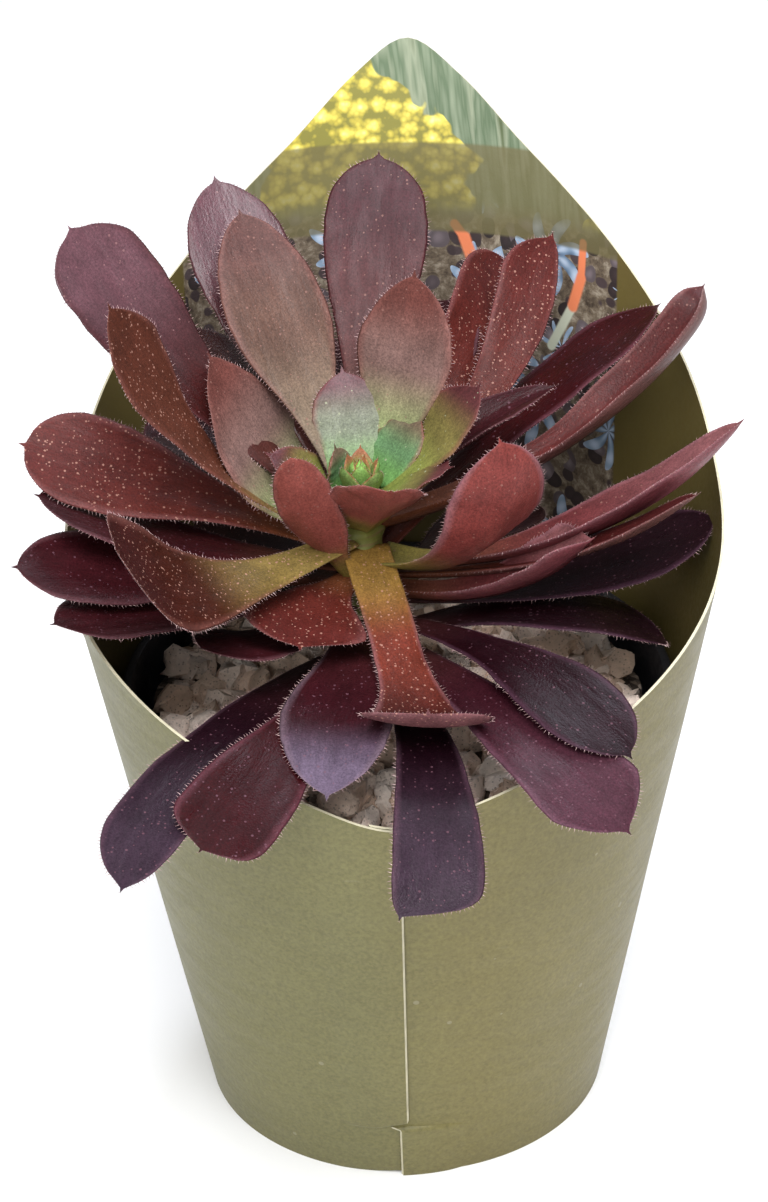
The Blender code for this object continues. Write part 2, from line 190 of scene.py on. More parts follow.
def settle(piece: bpy.types.Object, slot: str, *nodes: str) -> bpy.types.Object:
    """Fix a piece to the root body in the place of the named nodes.

    Args:
        piece: The finished piece.
        slot: A material slot's name; not used.
        nodes: The plain bodies that it stands for.

    Returns:
        The same piece.
    """
    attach(piece, ROOT_BODY)
    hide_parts(*nodes)
    LOG.info("%s: %d faces", piece.name, len(piece.data.polygons))
    return piece


def store(mesh: bpy.types.Mesh, name: str, kind: str, domain: str,
          values: Sequence[Any]) -> None:
    """Write one attribute of a mesh.

    Args:
        mesh: The mesh.
        name: The attribute's name.
        kind: Its data type, such as FLOAT.
        domain: What it belongs to, such as POINT.
        values: One number, vector or colour for each element.
    """
    attribute = mesh.attributes.new(name, kind, domain)
    if kind == "FLOAT_COLOR":
        attribute.data.foreach_set("color", [n for v in values for n in (*v, 1.0)])
    elif kind == "FLOAT_VECTOR":
        attribute.data.foreach_set("vector", [n for v in values for n in v])
    else:
        attribute.data.foreach_set("value", values)


# ---------------------------------------------------------------- node trees

class Wiring:
    """Short calls that add nodes to a tree and join them up."""

    def __init__(self, tree: bpy.types.NodeTree) -> None:
        """Keep the tree that the calls add to."""
        self.tree = tree

    def feed(self, socket: Socket, value: Value) -> None:
        """Link a socket to another, or set it to a constant.

        Args:
            socket: The input.
            value: A socket to link, or a constant.
        """
        if isinstance(value, bpy.types.NodeSocket):
            self.tree.links.new(value, socket)
        elif isinstance(value, (tuple, list)) and len(value) == 3 and socket.type == "RGBA":
            socket.default_value = (*value, 1.0)
        else:
            socket.default_value = value

    def node(self, kind: str, inputs: dict[Any, Value] | None = None,
             **settings: Any) -> bpy.types.Node:
        """Add a node.

        Args:
            kind: The node's type.
            inputs: Values or links by socket name or number.
            settings: The node's own properties.

        Returns:
            The new node.
        """
        made = self.tree.nodes.new(kind)
        for key, value in settings.items():
            setattr(made, key, value)
        for key, value in (inputs or {}).items():
            self.feed(made.inputs[key], value)
        return made

    def math(self, operation: str, *values: Value, clamp: bool = False) -> Socket:
        """Return the result of a math node."""
        made = self.node("ShaderNodeMath", dict(enumerate(values)), operation=operation,
                         use_clamp=clamp)
        return made.outputs[0]

    def vector(self, operation: str, *values: Value) -> Socket:
        """Return the vector result of a vector math node."""
        made = self.node("ShaderNodeVectorMath", dict(enumerate(values)), operation=operation)
        return made.outputs[0]

    def blend(self, share: Value, first: Value, second: Value, mode: str = "MIX") -> Socket:
        """Return two colours mixed by a share."""
        made = self.node("ShaderNodeMix", data_type="RGBA", blend_type=mode)
        for index, value in ((0, share), (6, first), (7, second)):
            self.feed(made.inputs[index], value)
        return made.outputs[2]

    def over(self, mask: Socket, strength: float, first: Value, second: Value) -> Socket:
        """Return a first colour with a second over it where a mask is, at a strength."""
        return self.blend(self.math("MULTIPLY", mask, strength), first, second)

    def span(self, value: Value, low: float, high: float, to_low: float = 0.0,
             to_high: float = 1.0) -> Socket:
        """Return a value eased from one range on to another, clamped."""
        made = self.node("ShaderNodeMapRange",
                         {0: value, 1: low, 2: high, 3: to_low, 4: to_high},
                         interpolation_type="SMOOTHSTEP")
        return made.outputs[0]

    def noise(self, vector: Value, scale: float, detail: float = 2.0,
              roughness: float = 0.5) -> Socket:
        """Return the factor of a noise texture."""
        made = self.node("ShaderNodeTexNoise", {"Vector": vector, "Scale": scale,
                                                "Detail": detail, "Roughness": roughness})
        return made.outputs[0]

    def cells(self, vector: Value, scale: float, randomness: float = 1.0,
              feature: str = "F1") -> bpy.types.Node:
        """Return a Voronoi texture node."""
        return self.node("ShaderNodeTexVoronoi", {"Vector": vector, "Scale": scale,
                                                  "Randomness": randomness}, feature=feature)

    def ramp(self, value: Value, stops: Sequence[tuple[float, Colour]]) -> Socket:
        """Return the colour that a ramp gives a value.

        Args:
            value: The factor.
            stops: The place and colour of each stop.

        Returns:
            The colour.
        """
        made = self.node("ShaderNodeValToRGB", {0: value})
        elements = made.color_ramp.elements
        while len(elements) < len(stops):
            elements.new(0.5)
        for element, (place, colour) in zip(elements, stops):
            element.position = place
            element.color = (*colour, 1.0)
        return made.outputs[0]

    def read(self, name: str, output: str = "Fac") -> Socket:
        """Return a mesh attribute."""
        return self.node("ShaderNodeAttribute", attribute_name=name).outputs[output]

    def place(self) -> Socket:
        """Return the Object coordinates."""
        return self.node("ShaderNodeTexCoord").outputs["Object"]

    def stretched(self, vector: Value, scale: Sequence[float]) -> Socket:
        """Return coordinates scaled along each axis."""
        return self.node("ShaderNodeMapping", {"Vector": vector, "Scale": scale}).outputs[0]

    def bump(self, height: Socket, distance: float, strength: float = 1.0,
             normal: Socket | None = None) -> Socket:
        """Return a normal bumped by a height map.

        Args:
            height: The height map.
            distance: Its depth in metres.
            strength: How much of it shows.
            normal: The normal to start from, if any.

        Returns:
            The bumped normal.
        """
        inputs: dict[Any, Value] = {"Height": height, "Distance": distance,
                                    "Strength": strength}
        if normal is not None:
            inputs["Normal"] = normal
        return self.node("ShaderNodeBump", inputs).outputs[0]

    def group(self, shared: bpy.types.NodeTree, **inputs: Value) -> bpy.types.Node:
        """Place a shared group, with its inputs by name (underscores for spaces)."""
        made = self.node("ShaderNodeGroup", node_tree=shared)
        for key, value in inputs.items():
            self.feed(made.inputs[key.replace("_", " ")], value)
        return made


def new_group(name: str, inputs: dict[str, tuple[str, Any]],
              outputs: dict[str, str]) -> tuple[Wiring, bpy.types.Node, bpy.types.Node]:
    """Start a shared shader group.

    Args:
        name: The group's name.
        inputs: Socket kind and starting value, by name.
        outputs: Socket kind, by name.

    Returns:
        The wiring and its input and output nodes.
    """
    tree = bpy.data.node_groups.new(name, "ShaderNodeTree")
    for key, (kind, value) in inputs.items():
        socket = tree.interface.new_socket(key, in_out="INPUT", socket_type=kind)
        if value is not None:
            socket.default_value = value
    for key, kind in outputs.items():
        tree.interface.new_socket(key, in_out="OUTPUT", socket_type=kind)
    wiring = Wiring(tree)
    return wiring, wiring.node("NodeGroupInput"), wiring.node("NodeGroupOutput")


FLOAT, VECTOR, COLOUR = "NodeSocketFloat", "NodeSocketVector", "NodeSocketColor"


class Effects:
    """Shader groups that several finishes share. Each is built once."""

    def __init__(self) -> None:
        """Build the groups."""
        self.mottle = self._mottle()
        self.flecks = self._flecks()
        self.stroke = self._stroke()

    @staticmethod
    def _mottle() -> bpy.types.NodeTree:
        """Return a group that darkens and lightens a colour in soft patches of two sizes."""
        wiring, start, end = new_group(
            "mottle", {"Vector": (VECTOR, None), "Colour": (COLOUR, None),
                       "Scale": (FLOAT, 100.0), "Depth": (FLOAT, 0.3)},
            {"Colour": COLOUR, "Height": FLOAT})
        scale = start.outputs["Scale"]
        coarse = wiring.noise(start.outputs["Vector"], 1.0, 2.0)
        wiring.feed(coarse.node.inputs["Scale"], scale)
        fine = wiring.noise(start.outputs["Vector"], 1.0, 3.0, 0.7)
        wiring.feed(fine.node.inputs["Scale"], wiring.math("MULTIPLY", scale, 5.3))
        both = wiring.math("ADD", wiring.math("MULTIPLY", coarse, 0.65),
                           wiring.math("MULTIPLY", fine, 0.35))
        swing = wiring.math("MULTIPLY", wiring.math("SUBTRACT", both, 0.5), 4.0)
        gain = wiring.math("MULTIPLY_ADD", swing, start.outputs["Depth"], 1.0)
        product = wiring.vector("SCALE", start.outputs["Colour"])
        wiring.feed(product.node.inputs["Scale"], gain)
        wiring.feed(end.inputs["Colour"], product)
        wiring.feed(end.inputs["Height"], both)
        return wiring.tree

    @staticmethod
    def _flecks() -> bpy.types.NodeTree:
        """Return a group that scatters small round dots; only some cells hold one."""
        wiring, start, end = new_group(
            "flecks", {"Vector": (VECTOR, None), "Scale": (FLOAT, 700.0),
                       "Radius": (FLOAT, 0.2), "Share": (FLOAT, 0.5)},
            {"Mask": FLOAT})
        dots = wiring.cells(start.outputs["Vector"], 1.0)
        wiring.feed(dots.inputs["Scale"], start.outputs["Scale"])
        near = wiring.math("LESS_THAN", dots.outputs["Distance"], start.outputs["Radius"])
        chance = wiring.node("ShaderNodeSeparateColor", {0: dots.outputs["Color"]}).outputs[0]
        kept = wiring.math("LESS_THAN", chance, start.outputs["Share"])
        wiring.feed(end.inputs["Mask"], wiring.math("MULTIPLY", near, kept))
        return wiring.tree

    @staticmethod
    def _stroke() -> bpy.types.NodeTree:
        """Return a group that draws one soft brush stroke between two points of a print."""
        wiring, start, end = new_group(
            "stroke", {"Vector": (VECTOR, None), "From": (VECTOR, None), "To": (VECTOR, None),
                       "Width": (FLOAT, 0.02)},
            {"Mask": FLOAT})
        along = wiring.vector("SUBTRACT", start.outputs["To"], start.outputs["From"])
        away = wiring.vector("SUBTRACT", start.outputs["Vector"], start.outputs["From"])
        dot = wiring.node("ShaderNodeVectorMath", {0: away, 1: along},
                          operation="DOT_PRODUCT").outputs["Value"]
        size = wiring.node("ShaderNodeVectorMath", {0: along, 1: along},
                           operation="DOT_PRODUCT").outputs["Value"]
        share = wiring.math("DIVIDE", dot, size, clamp=True)
        nearest = wiring.vector("SCALE", along)
        wiring.feed(nearest.node.inputs["Scale"], share)
        gap = wiring.node("ShaderNodeVectorMath",
                          {0: wiring.vector("SUBTRACT", away, nearest)},
                          operation="LENGTH").outputs["Value"]
        ratio = wiring.math("DIVIDE", gap, start.outputs["Width"])
        wiring.feed(end.inputs["Mask"], wiring.span(ratio, 0.35, 0.6, 1.0, 0.0))
        return wiring.tree


def new_material(name: str) -> tuple[bpy.types.Material, Wiring, bpy.types.Node]:
    """Return a new material, its wiring and its Principled shader."""
    material = bpy.data.materials.new(name)
    material.use_nodes = True
    return material, Wiring(material.node_tree), material.node_tree.nodes["Principled BSDF"]


def set_inputs(shader: bpy.types.Node, wiring: Wiring, **values: Value) -> None:
    """Set or link a shader's inputs by name (underscores for spaces)."""
    for key, value in values.items():
        wiring.feed(shader.inputs[key.replace("_", " ")], value)


# ---------------------------------------------------------------- leaf finishes

@dataclass(frozen=True)
class Palette:
    """The colours of one kind of leaf, from its neck to its tip, and of its other parts."""

    neck: Colour
    middle: Colour
    tip: Colour
    under: Colour
    rim: Colour
    neck_end: float = 0.12
    middle_at: float = 0.45

    def colour(self, along: float, across: float, underside: bool) -> Colour:
        """Return the colour at a place on the leaf.

        Args:
            along: The share of the leaf's length.
            across: The share of its half width, from -1 to 1.
            underside: Whether the place is on the lower face.

        Returns:
            A linear colour.
        """
        base = mix_colour(self.neck, self.middle, smooth(along, self.neck_end, self.middle_at))
        # Some tones' tip colours are painted sheen.
        base = mix_colour(base, self.tip, smooth(along, self.middle_at, 0.92))
        if underside:
            green = smooth(along, self.neck_end, self.middle_at)
            base = mix_colour(self.neck, self.under, green)
        edge = smooth(abs(across), 0.82, 0.98) * smooth(along, 0.15, 0.4)
        return mix_colour(base, self.rim, 0.55 * edge)


class Tone(Enum):
    """The kinds of leaf on this plant, from the green heart to the darkest old leaves. Some pale
    lilac tips are painted sheen.
    """

    MINT = Palette((0.11, 0.24, 0.07), (0.09, 0.18, 0.08), (0.13, 0.09, 0.06),
                   (0.13, 0.18, 0.05), (0.20, 0.035, 0.03))
    HEART = Palette((0.16, 0.27, 0.11), (0.15, 0.17, 0.12), (0.10, 0.042, 0.050),
                    (0.15, 0.15, 0.05), (0.16, 0.04, 0.04), 0.1, 0.5)
    TIPPED = Palette((0.18, 0.21, 0.045), (0.14, 0.12, 0.035), (0.070, 0.018, 0.020),
                     (0.12, 0.08, 0.025), (0.15, 0.04, 0.04), 0.25, 0.6)
    BLUSH = Palette((0.22, 0.27, 0.12), (0.16, 0.095, 0.085), (0.11, 0.036, 0.03),
                    (0.12, 0.035, 0.03), (0.18, 0.07, 0.06), 0.22, 0.6)
    ROSY = Palette((0.18, 0.14, 0.10), (0.096, 0.050, 0.037), (0.088, 0.038, 0.034),
                   (0.11, 0.03, 0.03), (0.18, 0.08, 0.07), 0.15, 0.6)
    MAUVE = Palette((0.12, 0.05, 0.035), (0.066, 0.021, 0.022), (0.048, 0.014, 0.019),
                    (0.09, 0.02, 0.022), (0.05, 0.012, 0.014), 0.1, 0.5)
    # Dark red-brown leaf; its pale lilac tip is painted sheen, the soft light reflected from
    # above.
    HAZE = Palette((0.07, 0.02, 0.015), (0.034, 0.005, 0.0045), (0.095, 0.040, 0.052),
                   (0.08, 0.018, 0.020), (0.06, 0.015, 0.018), 0.1, 0.45)
    BRONZE = Palette((0.20, 0.15, 0.05), (0.080, 0.024, 0.014), (0.070, 0.019, 0.011),
                     (0.09, 0.02, 0.015), (0.15, 0.055, 0.045), 0.1, 0.45)
    GOLDEN = Palette((0.17, 0.12, 0.036), (0.037, 0.0075, 0.0036), (0.036, 0.006, 0.0055),
                     (0.07, 0.013, 0.012), (0.15, 0.055, 0.045), 0.2, 0.6)
    RUST = Palette((0.18, 0.06, 0.025), (0.080, 0.014, 0.010), (0.075, 0.013, 0.011),
                   (0.12, 0.05, 0.055), (0.17, 0.06, 0.06), 0.05, 0.4)
    WINE = Palette((0.08, 0.03, 0.02), (0.031, 0.0048, 0.0064), (0.029, 0.0050, 0.0072),
                   (0.035, 0.007, 0.008), (0.12, 0.05, 0.06), 0.05, 0.4)
    CLARET = Palette((0.06, 0.015, 0.010), (0.026, 0.0019, 0.0029), (0.024, 0.0022, 0.0034),
                     (0.025, 0.004, 0.005), (0.12, 0.04, 0.055), 0.05, 0.4)
    NIGHT = Palette((0.04, 0.012, 0.012), (0.010, 0.0016, 0.0034), (0.013, 0.0038, 0.0066),
                    (0.010, 0.003, 0.006), (0.07, 0.03, 0.05), 0.05, 0.4)
    # Near-black leaf; its lighter greyish-lilac tip is painted sheen.
    SLATE = Palette((0.030, 0.008, 0.009), (0.009, 0.0023, 0.0048), (0.030, 0.017, 0.028),
                    (0.012, 0.004, 0.007), (0.08, 0.04, 0.06), 0.05, 0.55)
    # Near-black leaf; its lilac tip is painted sheen, the light it catches from above and behind.
    DUSK = Palette((0.05, 0.012, 0.013), (0.023, 0.0036, 0.0062), (0.095, 0.070, 0.108),
                   (0.028, 0.007, 0.012), (0.16, 0.11, 0.14), 0.05, 0.7)
    # Dark purple leaf; its lighter tip is partly its own colour and partly painted sheen.
    PLUM = Palette((0.05, 0.016, 0.014), (0.026, 0.0050, 0.0088), (0.050, 0.016, 0.026),
                   (0.028, 0.007, 0.012), (0.12, 0.055, 0.08), 0.05, 0.5)
    PINK = Palette((0.15, 0.05, 0.03), (0.095, 0.020, 0.022), (0.16, 0.060, 0.065),
                   (0.17, 0.045, 0.055), (0.26, 0.12, 0.14), 0.1, 0.45)
    LILAC = Palette((0.20, 0.17, 0.045), (0.14, 0.044, 0.044), (0.16, 0.062, 0.085),
                    (0.16, 0.034, 0.030), (0.24, 0.12, 0.14), 0.1, 0.45)
    FOLDED = Palette((0.12, 0.04, 0.02), (0.075, 0.013, 0.012), (0.060, 0.012, 0.012),
                     (0.12, 0.05, 0.045), (0.20, 0.09, 0.09), 0.1, 0.45)
    BRICK = Palette((0.20, 0.16, 0.04), (0.19, 0.042, 0.034), (0.18, 0.038, 0.032),
                    (0.21, 0.055, 0.045), (0.26, 0.10, 0.09), 0.05, 0.35)
    FLAME = Palette((0.21, 0.12, 0.028), (0.13, 0.024, 0.014), (0.023, 0.003, 0.0033),
                    (0.13, 0.050, 0.055), (0.22, 0.10, 0.11), 0.12, 0.42)
    SHADE = Palette((0.07, 0.05, 0.02), (0.028, 0.007, 0.007), (0.028, 0.007, 0.007),
                    (0.022, 0.006, 0.006), (0.06, 0.03, 0.03), 0.1, 0.4)


@dataclass(frozen=True)
class LeafFinish:
    """The leaf's waxy skin: gradients, fine grain, pale glands and a satin gloss."""

    roughness: float
    gloss: float
    fleck_share: float
    fleck_colour: Colour

    def build(self, name: str, effects: Effects) -> bpy.types.Material:
        """Return the finished material.

        Args:
            name: The material's name.
            effects: The shared groups.

        Returns:
            The finished material.
        """
        material, wiring, shader = new_material(name)
        place = wiring.place()
        blade = wiring.read("blade", "Vector")
        mottled = wiring.group(effects.mottle, Vector=place, Scale=160.0, Depth=0.32,
                               Colour=wiring.read("tone", "Color"))
        veins = wiring.noise(wiring.stretched(blade, (900.0, 160.0, 1.0)), 1.0, 4.0, 0.7)
        colour = wiring.blend(0.35, mottled.outputs["Colour"],
                              wiring.ramp(veins, ((0.3, (0.55, 0.55, 0.55)),
                                                  (0.7, (1.3, 1.3, 1.3)))), "MULTIPLY")
        down = wiring.noise(place, 2400.0, 3.0, 0.75)
        colour = wiring.blend(0.6, colour, wiring.ramp(down, (
            (0.36, (0.55, 0.52, 0.52)), (0.66, (1.5, 1.45, 1.4)))), "MULTIPLY")
        dots = wiring.math("MAXIMUM", *(wiring.group(
            effects.flecks, Vector=place, Scale=scale, Radius=radius,
            Share=self.fleck_share * share).outputs["Mask"]
            for scale, radius, share in ((820.0, 0.19, 0.7), (1500.0, 0.22, 0.5))))
        colour = wiring.over(dots, 0.6, colour,
                              self.fleck_colour)
        grain = wiring.cells(place, 2600.0).outputs["Distance"]
        patches = wiring.noise(wiring.stretched(blade, (420.0, 120.0, 1.0)), 1.0, 3.0)
        roughness = wiring.span(patches, 0.3, 0.7, self.roughness - 0.07,
                                self.roughness + 0.09)
        fine = wiring.bump(grain, 0.00005, 0.7)
        ribbed = wiring.bump(veins, 0.00016, 0.6, fine)
        set_inputs(shader, wiring, Base_Color=colour, Roughness=roughness,
                   Normal=wiring.bump(patches, 0.00045, 0.5, ribbed),
                   Specular_IOR_Level=self.gloss)
        return material


# ---------------------------------------------------------------- leaves

class LeafShape(NamedTuple):
    """One leaf: heights and sizes in millimetres, angles in degrees.

    height: where it meets the stem; azimuth: which way it points; rise: its slope at the
    stem; curl: how far it turns up (or down, if negative) by the tip; twist: roll about its
    length; sway: sideways bend; widest: where along it the blade is broadest; neck: width
    at the stem over the full width; fold: how far its halves close; growth: how late it
    curls; swell: how late it widens; square: how blunt its end is; skew: how far its tip
    lies to one side; point: the length of the point on its tip.
    """

    name: str
    tone: Tone
    height: float
    azimuth: float
    rise: float
    curl: float
    length: float
    width: float
    twist: float
    sway: float
    widest: float = 0.77
    neck: float = 0.28
    fold: float = 0.0
    growth: float = 1.3
    swell: float = 1.35
    square: float = 0.0
    skew: float = 0.0
    point: float = 1.3


T = Tone
LEAVES = (
    # Crown: young leaves round the bud.
    LeafShape("crown_back", T.HEART, 137, -170, 50, 0, 20, 14, -5, 5, 0.55, 0.75),
    LeafShape("crown_mint", T.MINT, 137, 130, 50, -5, 14, 12, 5, 0, 0.45, 0.8),
    LeafShape("crown_small", T.MINT, 136, -135, 75, 5, 7, 9, 20, 0, 0.45, 0.8),
    LeafShape("crown_right", T.TIPPED, 136, 105, 40, 25, 26, 17, 5, 35, 0.55, 0.45,
              skew=-0.4),
    LeafShape("crown_right_small", T.TIPPED, 136, 65, 40, -15, 16, 14, 10, 0, 0.55, 0.7),
    LeafShape("crown_left", T.TIPPED, 133, -90, 50, -15, 16, 15, -20, 0, 0.45, 0.6,
              square=-0.3),
    LeafShape("crown_front_left", T.BRICK, 120, -35, 55, 20, 35, 11, 45, -5, 0.5, 0.4,
              square=0.6, point=0.3),
    LeafShape("crown_front", T.BRICK, 131, 15, 40, 5, 25, 18, -15, 5, 0.45, 0.6, 15),
    LeafShape("back_inner", T.BLUSH, 134, 150, 55, 25, 41, 20, 0, 10, 0.65, 0.4,
              square=-0.2),
    LeafShape("back_left_inner", T.ROSY, 135, -150, 50, -10, 57, 20, -5, -15, 0.6),
    LeafShape("left_inner", T.BLUSH, 126, -100, 45, 20, 41, 25, -25, 25, 0.45, 0.6,
              square=-0.2, skew=-0.3),
    # Upper ring.
    LeafShape("left_high_broad", T.HAZE, 130, -108, 40, 15, 72, 22, -20, -10, 0.85,
              square=0.2),
    LeafShape("back_left_high", T.HAZE, 131, -150, 40, 10, 69, 20, -5, -10),
    LeafShape("back_left_gap", T.SHADE, 128, -135, 30, 10, 48, 16, 10, 0),
    LeafShape("back_tall", T.MAUVE, 133, 175, 45, 5, 67, 20, 5, 0, square=0.3),
    LeafShape("back_right_dark", T.RUST, 129, 155, 30, -15, 69, 15, 50, 20, 0.85,
              skew=-0.3),
    LeafShape("back_right_high", T.RUST, 130, 147, 20, 25, 69, 12, 30, 50, 0.85,
              square=0.2, skew=-0.7),
    LeafShape("right_spike", T.WINE, 133, 110, 32, -12, 38, 11, 5, 0, 0.5, fold=25),
    LeafShape("right_high", T.CLARET, 122, 124, 26, 0, 73, 19, -10, -15),
    LeafShape("right_high_folded", T.FOLDED, 128, 108, 8, 46, 77, 14, -5, 5, 0.9, 0.45,
              40, square=0.5, skew=1.0),
    LeafShape("left_high_brown", T.BRONZE, 126, -87, 33, 46, 65, 19, -10, -30, 0.85,
              0.2, square=-0.4, skew=0.2),
    LeafShape("left_gap", T.SHADE, 122, -115, 20, -5, 46, 18, 10, 5),
    # Middle ring.
    LeafShape("left_spotted", T.RUST, 124, -92, 22, -3, 61, 20, -30, 0, square=0.5),
    LeafShape("left_golden", T.GOLDEN, 127, -40, -4, 60, 64, 23, -40, 25, 0.85, 0.3,
              square=0.8),
    LeafShape("left_low_back", T.WINE, 120, -83, 12, 18, 58, 19, 0, -5),
    LeafShape("left_low_middle", T.WINE, 117, -72, 13, 2, 62, 20, -15, 0),
    LeafShape("left_low_front", T.WINE, 114, -60, 12, 0, 59, 20, 0, 0),
    LeafShape("left_under_dark", T.WINE, 112, -42, 2, 25, 39, 18, 5, -20),
    LeafShape("front_left_toothed", T.RUST, 119, -20, 6, -10, 27, 23, -10, 35),
    LeafShape("front_facing", T.FLAME, 125, 13, -20, 96, 53, 23, -10, -5, 0.93, 0.4,
              growth=5.5, swell=3.6, square=0.8),
    LeafShape("front_right_upturned", T.LILAC, 122, 54, 5, 105, 49, 19, -35, -5, 0.7,
              0.5, fold=16),
    LeafShape("right_short_pink", T.PINK, 114, 76, 0, 50, 44, 14, 0, 15, 0.85, 0.4,
              40, square=0.2),
    LeafShape("right_broad_dark", T.NIGHT, 112, 96, -4, 34, 65, 22, 0, 10),
    LeafShape("right_middle", T.FOLDED, 118, 79, 2, 42, 63, 9, -10, -5, 0.8, 0.3, 15,
              square=0.3),
    LeafShape("right_long", T.PINK, 120, 89, 3, 47, 74, 15, -15, 20, 0.65, fold=25,
              skew=0.2),
    LeafShape("middle_back_right", T.WINE, 123, 160, 34, -8, 56, 19, 0, -3),
    LeafShape("middle_back_left", T.WINE, 120, -165, 30, -8, 56, 19, 0, -3),
    LeafShape("middle_left_back", T.WINE, 118, -130, 20, -5, 52, 18, 0, -3),
    # Lowest ring: old leaves that arch down.
    LeafShape("front_right_upper", T.NIGHT, 109, 40, 18, -35, 69, 17, 5, -5, 0.8, 0.3,
              swell=1.7),
    LeafShape("front_right_lower", T.PLUM, 104, 33, 20, -42, 81, 20, 5, 20, 0.9, 0.4,
              swell=1.9, square=-0.4),
    LeafShape("front_hanging", T.SLATE, 102, 9, 17, -47, 81, 16, -10, -25, 0.9, 0.4,
              swell=1.5, square=0.8, skew=-0.8),
    LeafShape("front_left_short", T.DUSK, 109, -5, 15, -34, 58, 20, 0, 0, 0.7, 0.35,
              swell=1.7),
    LeafShape("front_left_red", T.CLARET, 108, -19, 9, -20, 76, 18, -20, -28, 0.9,
              0.2, swell=1.6, square=0.8),
    LeafShape("front_left_long", T.SLATE, 101, -26, 16, -28, 89, 14, -10, 8, 0.85,
              0.5, swell=1.3, skew=0.3),
    LeafShape("right_low_arched", T.NIGHT, 103, 85, 26, -58, 56, 22, -10, 20, 0.75,
              0.35, square=0.4),
    LeafShape("low_left", T.SHADE, 110, -108, 10, -20, 46, 18, 0, 0),
    LeafShape("low_back_left", T.SHADE, 107, -142, 12, -25, 47, 18, 0, 0),
    LeafShape("low_back", T.SHADE, 112, 180, 15, -20, 46, 18, 0, 0),
    LeafShape("low_back_right", T.SHADE, 109, 138, 13, -25, 47, 18, 0, 0),
)


